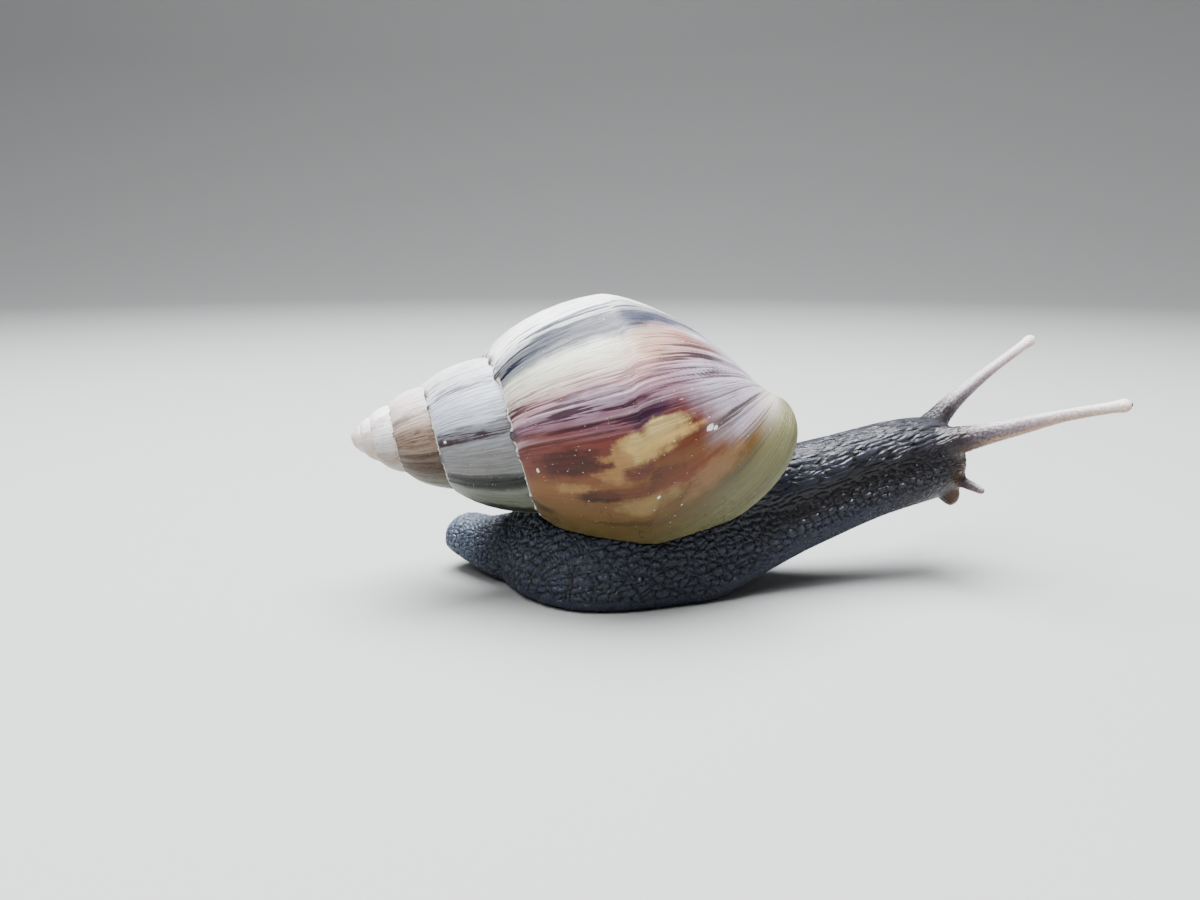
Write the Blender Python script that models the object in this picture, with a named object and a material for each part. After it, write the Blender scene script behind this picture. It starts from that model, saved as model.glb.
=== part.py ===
"""A giant African land snail, life size, crawling with its head raised and both
pairs of feelers out.

Frame: metres, +Z up, +X the way the snail crawls, +Y its left side. The origin
lies on the flat of the foot's sole, under the body whorl, and the sole's flat is
at z = 0.

The shell is one piece, a right-handed spiral of six and a half whorls. The flesh is one
lofted body, parted across its length into tail, foot, neck and head, with a
mantle in the shell's mouth and feelers, eyes and lips on the head.
"""

import math

import bmesh
import bpy
import numpy as np
from mathutils import Vector

MM = 0.001
GAP = 0.3 * MM                   # clearance between neighbouring solids
CURVED_GAP = 0.35 * MM           # the same where faceted curves meet

# ---- shell: size, place and lean -------------------------------------------
# A whorl is measured by its turn: 0 at the lip, -1 one whole turn earlier.
# Lengths run along the shell's axis from the virtual apex of the spiral.
APEX_POINT = Vector((-39.5, -0.2, 24.6)) * MM
AXIS_YAW = 5.6                   # degrees, the apex leans to the snail's right
AXIS_PITCH = 3.0                 # degrees, the apex sits lower than the mouth
LIP_ANGLE = 102.0                # degrees past the right side, where the lip leaves the suture
FIRST_TURN = -6.5                # where the apex dome starts
APEX_DOME = 0.6 * MM             # how far the blunt apex stops short of the virtual one

SUTURE_LENGTH = 29.9 * MM        # the suture at the lip
SUTURE_LENGTH_GROWTH = 1.80      # per turn
SUTURE_RADIUS = 13.9 * MM
SUTURE_RADIUS_GROWTH = 1.53
PERIPHERY_LENGTH = 44.7 * MM     # the widest line of the body whorl, at the lip
PERIPHERY_LENGTH_GROWTH = 1.35
PERIPHERY_SETBACK = 1.7 * MM
PERIPHERY_RADIUS = 20.7 * MM
PERIPHERY_RADIUS_GROWTH = 1.10
PERIPHERY_ONSET = 0.52           # turns over which the body whorl leaves the suture line
BASE_LENGTH = 66.2 * MM          # the foot of the columella
WHORL_BULGE = 1.3                # power of the whorl's profile, 1 a quarter ellipse

# The base narrows almost straight on the older part of the whorl and stays
# round and full at the lip.
BASE_POWERS_OLD = (1.31, 1.63)   # along the axis, across it
BASE_POWERS_LIP = (1.61, 0.54)
BASE_CHANGE = 0.34               # turns
LIP_FLARE = 2.48 * MM
LIP_FLARE_SPAN = 0.16            # turns
LIP_FLARE_ONSET = 1.5            # power that keeps the flare near the lip's edge
LIP_FLARE_PLACE = 3.0            # power that sets the flare close to the columella

# Growth lines trail behind the suture, by these angles at the periphery and base.
LAG_PERIPHERY = 15.0
LAG_BASE = 122.0
LAG_SPIRE_POWER = 0.7            # how soon the lag builds up below the suture
LAG_BASE_SHARES = (0.35, 0.65)   # linear and cubic share of its rise over the base
PARIETAL_SPREAD = 0.25           # turns from the suture to the columella's foot
LIP_WALL = 0.8 * MM
MOUTH_DEPTH = 0.045              # turns that the mouth is open behind the lip
MOUTH_TAPER = 0.2                # share of the way round over which that depth fades at each end
PAST_LIP = 0.004                 # turns that the shell's space runs past the lip
PAST_LIP_ONSET = 0.4             # share of the whorl's face over which it starts to do so

MANTLE_SPAN = (0.15, 0.82)       # stretch of the mouth's rim that the mantle follows
MANTLE_WIDTH = 0.8               # share of the way over the mouth that it fills
MANTLE_INSET = 1.6 * MM          # distance inside the lip's outer face
MANTLE_BULGE = 0.8 * MM
MANTLE_SETBACK = 0.008           # turns that the mantle's face is behind the lip's edge
MANTLE_ROOT = 0.037              # turns that its root is behind it
MANTLE_ROOT_LIFT = 0.6 * MM      # clearance under the root

STEPS_PER_TURN = 48
SPIRE_STRIPS = 5
BASE_STRIPS = 10
MOUTH_STRIPS = 5

# ---- flesh: stations along the body, millimetres and degrees ---------------
# x, y, z of the widest line; pitch; half width; rise above it; drop to the sole;
# power of the sides; how soon the sole turns flat (1 is round).
STATIONS = {
    "tail tip":   (-25.0, 15.4, 5.4, 0.0, 2.8, 1.9, 1.5, 1.0, 1.0),
    "tail end":   (-23.8, 14.2, 4.4, 0.0, 4.5, 4.4, 1.3, 0.9, 1.0),
    "tail":       (-19.8, 11.4, 3.0, 0.0, 5.6, 6.0, 1.3, 1.0, 1.1),
    "rear foot":  (-13.5, 8.2, 1.5, 0.0, 6.8, 10.0, 1.5, 1.2, 1.15),
    "mid foot":   (-1.0, 1.8, 1.5, 0.0, 12.0, 16.0, 1.5, 1.3, 2.4),
    "front foot": (12.5, 3.2, 1.5, 0.0, 9.6, 20.0, 1.5, 1.2, 2.4),
    "breast":     (21.0, 4.8, 4.8, 8.0, 8.2, 17.6, 2.0, 0.9, 2.4),
    "nape":       (31.0, 6.4, 9.6, 14.0, 7.0, 12.7, 2.4, 0.8, 1.9),
    "throat":     (41.0, 8.6, 13.4, 12.0, 6.4, 10.8, 2.6, 0.8, 1.7),
    "head back":  (49.0, 10.4, 16.2, 8.0, 6.6, 9.5, 3.4, 0.85, 1.4),
    "face":       (55.0, 12.0, 18.2, 0.0, 5.8, 7.0, 5.0, 0.9, 1.1),
    "snout":      (57.8, 12.7, 17.8, 0.0, 3.9, 4.8, 4.4, 0.95, 1.0),
    "snout tip":  (59.1, 13.0, 17.4, 0.0, 0.9, 1.3, 1.2, 1.0, 1.0),
}
BODY_CUTS = {"tail": (0.0, 2.75), "foot": (2.75, 5.6), "neck": (5.6, 9.0), "head": (9.0, 12.0)}
BACK_POWER = 0.9                 # power of the back's roundness, 1 a half ellipse
BODY_SIDES = 26
RINGS_PER_STATION = 4

# ---- feelers, eyes and lips: path points and radii, millimetres ------------
UPPER_TENTACLES = {
    "right": (
        ((53.6, 8.8, 21.8), (57.0, 6.9, 23.1), (63.6, 4.0, 25.5), (70.0, 0.9, 28.0), (78.2, -2.5, 30.3)),
        ((0.0, 3.2), (0.16, 2.1), (0.3, 1.65), (0.5, 1.28), (0.7, 0.95), (0.9, 0.88), (0.96, 1.05), (1.0, 0.8)),
    ),
    "left": (
        ((53.6, 14.0, 22.6), (57.4, 17.2, 26.0), (64.5, 23.0, 30.0), (78.9, 33.7, 36.8)),
        ((0.0, 3.0), (0.16, 1.75), (0.4, 1.22), (0.7, 0.9), (0.9, 0.88), (0.96, 1.05), (1.0, 0.8)),
    ),
}
TENTACLE_SPLIT = 0.42            # share of the length where a feeler is parted in two
LOWER_TENTACLES = {
    "right": (((56.4, 9.4, 16.5), (58.4, 7.7, 15.6), (60.3, 4.8, 14.9)),
              ((0.0, 1.4), (0.5, 0.85), (1.0, 0.5))),
    "left": (((56.2, 16.2, 16.8), (58.6, 17.9, 15.8), (61.2, 20.6, 15.1)),
             ((0.0, 1.4), (0.5, 0.9), (1.0, 0.5))),
}
MOUTH_LOBES = {
    "right": (((56.0, 10.9, 14.6), (56.9, 10.4, 12.8), (57.2, 10.1, 11.2)),
              ((0.0, 2.1), (0.5, 1.8), (1.0, 0.8))),
    "left": (((55.8, 14.5, 14.6), (56.7, 15.0, 12.8), (57.0, 15.3, 11.2)),
             ((0.0, 2.1), (0.5, 1.8), (1.0, 0.8))),
}
EYE_RADIUS = 0.5 * MM
TUBE_SIDES = 12

# ---- colours: base colour, roughness ---------------------------------------
SHELL_LOOK = ((0.46, 0.24, 0.14), 0.32)
FLESH_LOOK = ((0.045, 0.045, 0.055), 0.45)
TENTACLE_LOOK = ((0.42, 0.30, 0.26), 0.5)
EYE_LOOK = ((0.03, 0.025, 0.02), 0.2)


# ---- small helpers ---------------------------------------------------------
def smooth(value):
    """A soft step from 0 to 1."""
    value = min(max(value, 0.0), 1.0)
    return value * value * (3.0 - 2.0 * value)


def monotone_curve(knots, values):
    """A smooth curve through the knots that never overshoots them."""
    knots = np.asarray(knots, float)
    values = np.asarray(values, float)
    widths = np.diff(knots)
    slopes = np.diff(values) / widths
    tangents = np.zeros(len(knots))
    tangents[0], tangents[-1] = slopes[0], slopes[-1]
    for i in range(1, len(knots) - 1):
        if slopes[i - 1] * slopes[i] > 0.0:
            tangents[i] = 2.0 * slopes[i - 1] * slopes[i] / (slopes[i - 1] + slopes[i])

    def curve(at):
        i = min(max(int(np.searchsorted(knots, at)) - 1, 0), len(widths) - 1)
        u = (at - knots[i]) / widths[i]
        rise = (values[i] * (1 + 2 * u) + tangents[i] * widths[i] * u) * (1 - u) ** 2
        fall = (values[i + 1] * (3 - 2 * u) - tangents[i + 1] * widths[i] * (1 - u)) * u ** 2
        return float(rise + fall)

    return curve


def make_material(name, look):
    colour, roughness = look
    material = bpy.data.materials.new(name)
    material.use_nodes = True
    shader = material.node_tree.nodes["Principled BSDF"]
    shader.inputs["Base Color"].default_value = (*colour, 1.0)
    shader.inputs["Roughness"].default_value = roughness
    return material


def make_collection(name):
    collection = bpy.data.collections.new(name)
    bpy.context.scene.collection.children.link(collection)
    return collection


def close_mesh(name, points, faces, collection, look=None):
    """An object from points and faces, welded, facing out; a cutter if it has no look."""
    shape = bmesh.new()
    corners = [shape.verts.new(point) for point in points]
    for face in faces:
        shape.faces.new([corners[i] for i in face])
    bmesh.ops.remove_doubles(shape, verts=shape.verts, dist=1e-7)
    bmesh.ops.dissolve_degenerate(shape, edges=shape.edges, dist=1e-7)
    bmesh.ops.recalc_face_normals(shape, faces=shape.faces)
    mesh = bpy.data.meshes.new(name)
    shape.to_mesh(mesh)
    shape.free()
    piece = bpy.data.objects.new(name, mesh)
    collection.objects.link(piece)
    if look is None:
        piece.hide_render = True
        piece.display_type = "WIRE"
    else:
        mesh.materials.append(make_material(name, look))
        mesh.shade_smooth()
        mesh.set_sharp_from_angle(angle=math.radians(50))
    return piece


def cut(piece, cutter):
    """Take the cutter's space out of the piece."""
    boolean = piece.modifiers.new("clear of " + cutter.name, "BOOLEAN")
    boolean.operation = "DIFFERENCE"
    boolean.solver = "EXACT"
    boolean.use_self = True
    boolean.object = cutter


def grid_faces(rows, columns, first=0):
    """Quads between the points of a grid stored row by row."""
    for row in range(rows - 1):
        for column in range(columns - 1):
            corner = first + row * columns + column
            yield (corner, corner + 1, corner + columns + 1, corner + columns)


# ---- shell -----------------------------------------------------------------
def shell_axes():
    """The shell's axis, and the directions to the snail's right and down from it."""
    yaw = math.radians(AXIS_YAW)
    pitch = math.radians(AXIS_PITCH)
    along = Vector((math.cos(pitch) * math.cos(yaw), math.cos(pitch) * math.sin(yaw), math.sin(pitch)))
    right = Vector((math.sin(yaw), -math.cos(yaw), 0.0))
    down = along.cross(right)
    return along, right, down


ALONG, RIGHT, DOWN = shell_axes()


# How the shell's face leans, by length along the axis: -90 degrees faces the apex,
# 0 straight out and 90 the base.
face_lean = monotone_curve(
    (0.0, 0.04 * BASE_LENGTH, 0.25 * BASE_LENGTH, 0.68 * BASE_LENGTH, 0.9 * BASE_LENGTH, BASE_LENGTH),
    (-80.0, -50.0, -30.0, 0.0, 40.0, 90.0),
)


def growth_lag(across):
    """How far a growth line trails behind the suture, in turns."""
    base = max(across - 1.0, 0.0)
    straight, steep = LAG_BASE_SHARES
    spire_part = LAG_PERIPHERY * min(across, 1.0) ** LAG_SPIRE_POWER
    base_part = (LAG_BASE - LAG_PERIPHERY) * (straight * base + steep * base ** 3)
    return (spire_part + base_part) / 360.0


def whorl_profile(turn, across):
    """Length along the axis and radius of the shell's face: across is 0 on the suture
    above, 1 on the periphery (or the suture below) and 2 at the foot of the columella."""
    suture_length = math.hypot(APEX_DOME, SUTURE_LENGTH * SUTURE_LENGTH_GROWTH ** turn)
    suture_radius = SUTURE_RADIUS * SUTURE_RADIUS_GROWTH ** turn
    below_length = math.hypot(APEX_DOME, SUTURE_LENGTH * SUTURE_LENGTH_GROWTH ** (turn + 1.0))
    below_radius = SUTURE_RADIUS * SUTURE_RADIUS_GROWTH ** (turn + 1.0)
    free = smooth((turn + 1.0) / PERIPHERY_ONSET)
    wide_length = PERIPHERY_SETBACK + PERIPHERY_LENGTH * PERIPHERY_LENGTH_GROWTH ** turn
    wide_radius = PERIPHERY_RADIUS * PERIPHERY_RADIUS_GROWTH ** turn
    edge_length = below_length * (1.0 - free) + wide_length * free
    edge_radius = below_radius * (1.0 - free) + wide_radius * free
    if across <= 1.0:
        sweep = across * math.pi / 2.0
        length = suture_length + (edge_length - suture_length) * (1.0 - math.cos(sweep) ** WHORL_BULGE)
        radius = suture_radius + (edge_radius - suture_radius) * math.sin(sweep) ** WHORL_BULGE
        return length, radius
    sweep = (across - 1.0) * math.pi / 2.0
    age = turn + growth_lag(across)
    lip_share = smooth((age + BASE_CHANGE) / BASE_CHANGE)
    power_along = BASE_POWERS_OLD[0] + (BASE_POWERS_LIP[0] - BASE_POWERS_OLD[0]) * lip_share
    power_across = BASE_POWERS_OLD[1] + (BASE_POWERS_LIP[1] - BASE_POWERS_OLD[1]) * lip_share
    flare = LIP_FLARE * smooth((age + LIP_FLARE_SPAN) / LIP_FLARE_SPAN) ** LIP_FLARE_ONSET
    length = edge_length + (BASE_LENGTH - edge_length) * math.sin(sweep) ** power_along
    length += flare * math.sin(math.pi * (across - 1.0) ** LIP_FLARE_PLACE)
    radius = edge_radius * max(math.cos(sweep), 0.0) ** power_across
    return length, radius


def shell_point(turn, across, swell=0.0):
    """A point of the shell's face, moved out by swell."""
    length, radius = whorl_profile(turn, across)
    angle = math.radians(LIP_ANGLE + 360.0 * turn)
    outward = RIGHT * math.cos(angle) + DOWN * math.sin(angle)
    point = APEX_POINT + ALONG * length + outward * radius
    if swell:
        lean = math.radians(face_lean(min(length, BASE_LENGTH)))
        point += (outward * math.cos(lean) + ALONG * math.sin(lean)) * swell
    return point


def lip_turn(across, past_lip=0.0):
    """The growth line at the lip, or a little past it, except on the suture."""
    return past_lip * smooth(across / PAST_LIP_ONSET) - growth_lag(across)


def parietal_turn(across):
    """The line where the mouth's inner side lies on the whorl before it."""
    return -1.0 + PARIETAL_SPREAD * smooth(across - 1.0)


def mouth_places():
    """Places round the mouth from the suture to the columella: the share of the way,
    and how far across the whorl the lip and the parietal line are there."""
    steps = SPIRE_STRIPS + BASE_STRIPS
    slow_steps = 2 * (steps - BASE_STRIPS)
    for step in range(steps + 1):
        spire = min(step, SPIRE_STRIPS)
        lip = spire / SPIRE_STRIPS + (step - spire) / BASE_STRIPS
        side = step // 2 if step < slow_steps else step - SPIRE_STRIPS
        yield step / steps, lip, 1.0 + side / BASE_STRIPS


def mouth_point(place, over, inset=0.0, depth=0.0, swell=0.0, past_lip=0.0):
    """A point of a skin stretched over the mouth: over is 0 at the lip and 1 on the
    parietal line, inset is the distance inside the lip's outer face, and depth the
    turns behind its edge."""
    share, lip_across, side_across = place
    taper = smooth(share / MOUTH_TAPER) * smooth((1.0 - share) / MOUTH_TAPER)
    turn = lip_turn(lip_across, past_lip) - depth * taper
    lip = shell_point(turn, lip_across, swell - inset * taper)
    side = shell_point(parietal_turn(side_across), side_across, swell)
    return lip.lerp(side, over)


def mouth_direction():
    """The direction that the shell's mouth faces."""
    places = list(mouth_places())
    loop = [mouth_point(place, 0.0) for place in places]
    loop += [mouth_point(place, 1.0) for place in places[::-1]]
    total = Vector((0.0, 0.0, 0.0))
    for here, there in zip(loop, loop[1:] + loop[:1]):
        total += here.cross(there)
    total.normalize()
    return total if total.z < 0.0 else -total


MOUTH_FACING = mouth_direction()


def shell_face(swell=0.0, past_lip=0.0):
    """Points and faces of the spiral's outer face, open at the mouth."""
    turns = int(round(-FIRST_TURN * STEPS_PER_TURN))
    lag_rows = int(round(LAG_PERIPHERY / 360.0 * STEPS_PER_TURN))
    points = []
    for row in range(turns + 1):
        age = (row - turns) / STEPS_PER_TURN
        for column in range(SPIRE_STRIPS + 1):
            across = column / SPIRE_STRIPS
            turn = age - growth_lag(across) if row < turns else lip_turn(across, past_lip)
            points.append(shell_point(turn, across, swell))
    faces = list(grid_faces(turns + 1, SPIRE_STRIPS + 1))
    # a fan closes the apex over the first turn of the suture
    apex = len(points)
    points.append(APEX_POINT + ALONG * (APEX_DOME - swell))
    rim = list(range(SPIRE_STRIPS, -1, -1))
    rim += [row * (SPIRE_STRIPS + 1) for row in range(1, STEPS_PER_TURN - lag_rows + 1)]
    faces += [(apex, here, there) for here, there in zip(rim, rim[1:])]
    # the base runs from the parietal line round to the lip
    first = len(points)
    rows = STEPS_PER_TURN - lag_rows
    for row in range(rows + 1):
        for column in range(BASE_STRIPS + 1):
            across = 1.0 + column / BASE_STRIPS
            start = parietal_turn(across)
            end = lip_turn(across, past_lip if row == rows else 0.0)
            points.append(shell_point(start + (end - start) * row / rows, across, swell))
    faces += grid_faces(rows + 1, BASE_STRIPS + 1, first)
    return points, faces


def build_shell(collection):
    """The spiral, with a thin lip round an open mouth."""
    points, faces = shell_face()
    first = len(points)
    places = list(mouth_places())
    for place in places:
        points.append(mouth_point(place, 0.0))
        points.append(mouth_point(place, 0.0, inset=LIP_WALL))
        for strip in range(MOUTH_STRIPS + 1):
            points.append(mouth_point(place, strip / MOUTH_STRIPS, inset=LIP_WALL, depth=MOUTH_DEPTH))
    faces += grid_faces(len(places), MOUTH_STRIPS + 3, first)
    return close_mesh("shell", points, faces, collection, SHELL_LOOK)


def build_shell_space(collection):
    """The room that the shell and its mantle need, as a cutter for the flesh below."""
    points, faces = shell_face(swell=CURVED_GAP, past_lip=PAST_LIP)
    first = len(points)
    places = list(mouth_places())
    for place in places:
        for strip in range(MOUTH_STRIPS + 1):
            over = strip / MOUTH_STRIPS
            point = mouth_point(place, over, swell=CURVED_GAP, past_lip=PAST_LIP)
            if 0 < strip < MOUTH_STRIPS:
                point += MOUTH_FACING * (MANTLE_BULGE * math.sin(math.pi * over) + CURVED_GAP)
            points.append(point)
    faces += grid_faces(len(places), MOUTH_STRIPS + 1, first)
    return close_mesh("shell space", points, faces, collection)


def mantle_point(place, strip, root=False):
    """A point of the mantle's swollen outer face, or of its root deeper in the mouth."""
    over = MANTLE_WIDTH * strip / MOUTH_STRIPS
    point = mouth_point(place, over, inset=MANTLE_INSET, depth=MANTLE_ROOT if root else MANTLE_SETBACK)
    lift = MANTLE_ROOT_LIFT if root else MANTLE_BULGE * math.sin(math.pi * over)
    return point + MOUTH_FACING * lift


def build_mantle(collection):
    """The fleshy collar that fills the shell's mouth, just inside the lip."""
    start, end = MANTLE_SPAN
    places = [place for place in mouth_places() if start < place[0] < end]
    strips = list(range(MOUTH_STRIPS + 1))
    points = []
    for place in places:
        points += [mantle_point(place, strip) for strip in strips]
        points += [mantle_point(place, strip, root=True) for strip in strips[::-1]]
        points.append(mantle_point(place, 0))
    loop = 2 * len(strips)
    faces = list(grid_faces(len(places), loop + 1))
    for first in (0, (len(places) - 1) * (loop + 1)):
        faces += [
            (first + i, first + i + 1, first + loop - 2 - i, first + loop - 1 - i)
            for i in range(MOUTH_STRIPS)
        ]
    return close_mesh("mantle", points, faces, collection, FLESH_LOOK)


# ---- flesh -----------------------------------------------------------------
class Flesh:
    """The body without its shell and feelers, as one form along its stations."""

    def __init__(self):
        rows = np.array(list(STATIONS.values()))
        knots = np.arange(len(rows))
        self.curves = [monotone_curve(knots, rows[:, i]) for i in range(rows.shape[1])]

    def frame(self, station):
        """The middle of the widest line there, and the directions ahead, left and up."""
        here = Vector([self.curves[i](station) for i in range(3)]) * MM
        behind = Vector([self.curves[i](station - 0.05) for i in range(2)])
        ahead = Vector([self.curves[i](station + 0.05) for i in range(2)])
        heading = (ahead - behind).normalized()
        pitch = math.radians(self.curves[3](station))
        forward = Vector((heading.x * math.cos(pitch), heading.y * math.cos(pitch), math.sin(pitch)))
        left = Vector((-heading.y, heading.x, 0.0))
        return here, forward, left, forward.cross(left)

    def point(self, station, angle, swell=0.0):
        """A point of the skin: angle 0 is the left side and 90 degrees the back."""
        here, _, left, up = self.frame(station)
        width, rise, drop, power, flatness = [self.curves[i](station) for i in range(4, 9)]
        side = math.cos(angle)
        height = math.sin(angle)
        across = (width * MM + swell) * math.copysign(abs(side) ** power, side)
        if height >= 0.0:
            along_up = (rise * MM + swell) * height ** BACK_POWER
        else:
            along_up = -(drop * MM + swell) * min(1.0, -height * flatness)
        return here + left * across + up * along_up

    def loft(self, name, start, end, collection, look, swell=0.0):
        """The stretch of the body between two stations, closed by flat ends."""
        count = max(2, int(round((end - start) * RINGS_PER_STATION)))
        points = []
        for ring in range(count + 1):
            station = start + (end - start) * ring / count
            for side in range(BODY_SIDES + 1):
                angle = math.tau * (side % BODY_SIDES) / BODY_SIDES
                points.append(self.point(station, angle, swell))
        faces = list(grid_faces(count + 1, BODY_SIDES + 1))
        for first, station in ((0, start), (count * (BODY_SIDES + 1), end)):
            middle = len(points)
            points.append(self.frame(station)[0])
            faces += [(first + i, first + i + 1, middle) for i in range(BODY_SIDES)]
        return close_mesh(name, points, faces, collection, look)

    def station_step(self, station, distance):
        """How many stations the distance is, near that station."""
        reach = self.frame(station + 0.05)[0] - self.frame(station - 0.05)[0]
        return 0.1 * distance / reach.length


def build_body(flesh, collection):
    """Tail, foot, neck and head, parted by thin cuts."""
    pieces = {}
    last = len(STATIONS) - 1
    for name, (start, end) in BODY_CUTS.items():
        if start > 0.0:
            start += flesh.station_step(start, GAP / 2.0)
        if end < last:
            end -= flesh.station_step(end, GAP / 2.0)
        pieces[name] = flesh.loft(name, start, end, collection, FLESH_LOOK)
    return pieces


# ---- feelers, eyes and lips ------------------------------------------------
def path_curve(points):
    """A smooth path through the points, and its share of the length at each."""
    points = np.array(points)
    spans = np.linalg.norm(np.diff(points, axis=0), axis=1)
    knots = np.concatenate(([0.0], np.cumsum(spans))) / spans.sum()
    curves = [monotone_curve(knots, points[:, i]) for i in range(3)]
    return lambda share: Vector([curve(share) for curve in curves]) * MM


def build_tube(name, path, radii, span, collection, look, steps=12):
    """A tapered tube along a stretch of the path, as a welded mesh."""
    place = path_curve(path)
    thickness = monotone_curve(*zip(*radii))
    data = bpy.data.curves.new(name, "CURVE")
    data.dimensions = "3D"
    data.bevel_depth = MM
    data.bevel_resolution = TUBE_SIDES // 2 - 2
    data.use_fill_caps = True
    spline = data.splines.new("POLY")
    spline.points.add(steps)
    for i, point in enumerate(spline.points):
        share = span[0] + (span[1] - span[0]) * i / steps
        point.co = (*place(share), 1.0)
        point.radius = thickness(share)
    guide = bpy.data.objects.new(name + " guide", data)
    collection.objects.link(guide)
    mesh = bpy.data.meshes.new_from_object(guide.evaluated_get(bpy.context.evaluated_depsgraph_get()))
    bpy.data.objects.remove(guide)
    shape = bmesh.new()
    shape.from_mesh(mesh)
    bmesh.ops.remove_doubles(shape, verts=shape.verts, dist=1e-6)
    bmesh.ops.recalc_face_normals(shape, faces=shape.faces)
    shape.to_mesh(mesh)
    shape.free()
    mesh.name = name
    mesh.materials.clear()
    piece = bpy.data.objects.new(name, mesh)
    collection.objects.link(piece)
    if look is not None:
        mesh.materials.append(make_material(name, look))
        mesh.shade_smooth()
    return piece


def build_ball(name, centre, radius, collection, look=None):
    shape = bmesh.new()
    bmesh.ops.create_uvsphere(shape, u_segments=TUBE_SIDES, v_segments=TUBE_SIDES // 2 + 1, radius=radius)
    mesh = bpy.data.meshes.new(name)
    shape.to_mesh(mesh)
    shape.free()
    piece = bpy.data.objects.new(name, mesh)
    piece.location = centre
    collection.objects.link(piece)
    if look is None:
        piece.hide_render = True
        piece.display_type = "WIRE"
    else:
        mesh.materials.append(make_material(name, look))
        mesh.shade_smooth()
    return piece


def build_upper_tentacle(side, head_space, parts, cutters):
    """A long feeler in two lengths, with its eye in the tip."""
    path, radii = UPPER_TENTACLES[side]
    place = path_curve(path)
    length = sum((Vector(b) - Vector(a)).length for a, b in zip(path, path[1:])) * MM
    half_gap = GAP / 2.0 / length
    name = f"upper_tentacle_{side}"
    span = (0.0, TENTACLE_SPLIT - half_gap)
    base = build_tube(name + "_base", path, radii, span, parts, TENTACLE_LOOK)
    cut(base, head_space)
    span = (TENTACLE_SPLIT + half_gap, 1.0)
    shaft = build_tube(name + "_shaft", path, radii, span, parts, TENTACLE_LOOK, steps=14)
    tip = place(1.0)
    build_ball(f"eye_{side}", tip, EYE_RADIUS, parts, EYE_LOOK)
    cut(shaft, build_ball(f"eye socket {side}", tip, EYE_RADIUS + CURVED_GAP, cutters))


def main():
    for old in list(bpy.data.objects):
        bpy.data.objects.remove(old)
    parts = make_collection("giant african land snail")
    cutters = make_collection("cutters")

    build_shell(parts)
    build_mantle(parts)
    shell_space = build_shell_space(cutters)

    flesh = Flesh()
    for piece in build_body(flesh, parts).values():
        if piece.name in ("tail", "foot", "neck"):
            cut(piece, shell_space)

    last = len(STATIONS) - 1
    head_space = flesh.loft("head space", BODY_CUTS["head"][0] - 1.0, last, cutters, None, swell=CURVED_GAP)
    for side in ("right", "left"):
        build_upper_tentacle(side, head_space, parts, cutters)
        for name, table, look in (
            ("lower_tentacle", LOWER_TENTACLES, TENTACLE_LOOK),
            ("mouth_lobe", MOUTH_LOBES, FLESH_LOOK),
        ):
            path, radii = table[side]
            cut(build_tube(f"{name}_{side}", path, radii, (0.0, 1.0), parts, look, steps=6), head_space)


main()
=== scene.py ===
"""Looks of the giant African land snail: the spiral shell with its growth lines and
markings, one skin over all the flesh, and the eyes in the feelers' tips.

Metres, +Z up, +X the way the snail crawls, +Y its left side; the sole is at z = 0.
The forms repeat the part's own measures, at the resolution of growth lines and
skin tubercles.
"""

import math

import bmesh
import bpy
import numpy as np
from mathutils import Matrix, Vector
from mathutils.kdtree import KDTree


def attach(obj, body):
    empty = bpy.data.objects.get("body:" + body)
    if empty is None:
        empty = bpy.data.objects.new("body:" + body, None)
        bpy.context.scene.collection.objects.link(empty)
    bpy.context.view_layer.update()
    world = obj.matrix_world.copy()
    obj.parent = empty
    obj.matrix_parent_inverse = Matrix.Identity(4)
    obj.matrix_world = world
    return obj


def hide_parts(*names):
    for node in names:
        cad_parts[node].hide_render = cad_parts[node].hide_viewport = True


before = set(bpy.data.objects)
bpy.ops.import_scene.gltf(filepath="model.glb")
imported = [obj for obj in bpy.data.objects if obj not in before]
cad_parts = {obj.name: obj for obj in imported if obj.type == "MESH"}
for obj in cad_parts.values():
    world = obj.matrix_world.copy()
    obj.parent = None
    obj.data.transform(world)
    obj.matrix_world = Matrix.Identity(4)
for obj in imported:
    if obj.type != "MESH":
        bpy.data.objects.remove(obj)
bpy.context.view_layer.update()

MM = 0.001
TURN = 360.0
WELD = 5e-7

# ---- shell: the part's own measures ----------------------------------------
APEX_POINT = np.array((-39.5, -0.2, 24.6)) * MM
AXIS_YAW = 5.6
AXIS_PITCH = 3.0
LIP_ANGLE = 102.0
FIRST_TURN = -6.5
APEX_DOME = 0.6 * MM
SUTURE_LENGTH = 29.9 * MM
SUTURE_LENGTH_GROWTH = 1.80
SUTURE_RADIUS = 13.9 * MM
SUTURE_RADIUS_GROWTH = 1.53
PERIPHERY_LENGTH = 44.7 * MM
PERIPHERY_LENGTH_GROWTH = 1.35
PERIPHERY_SETBACK = 1.7 * MM
PERIPHERY_RADIUS = 20.7 * MM
PERIPHERY_RADIUS_GROWTH = 1.10
PERIPHERY_ONSET = 0.52
BASE_LENGTH = 66.2 * MM
WHORL_BULGE = 1.3
BASE_POWERS_OLD = (1.31, 1.63)
BASE_POWERS_LIP = (1.61, 0.54)
BASE_CHANGE = 0.34
LIP_FLARE = 2.48 * MM
LIP_FLARE_SPAN = 0.16
LIP_FLARE_ONSET = 1.5
LIP_FLARE_PLACE = 3.0
LAG_PERIPHERY = 15.0
LAG_BASE = 122.0
LAG_SPIRE_POWER = 0.7
LAG_BASE_SHARES = (0.35, 0.65)
PARIETAL_SPREAD = 0.25
LIP_WALL = 0.8 * MM
MOUTH_DEPTH = 0.045
MOUTH_TAPER = 0.2
MANTLE_SPAN = (0.15, 0.82)
MANTLE_WIDTH = 0.8
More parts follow.
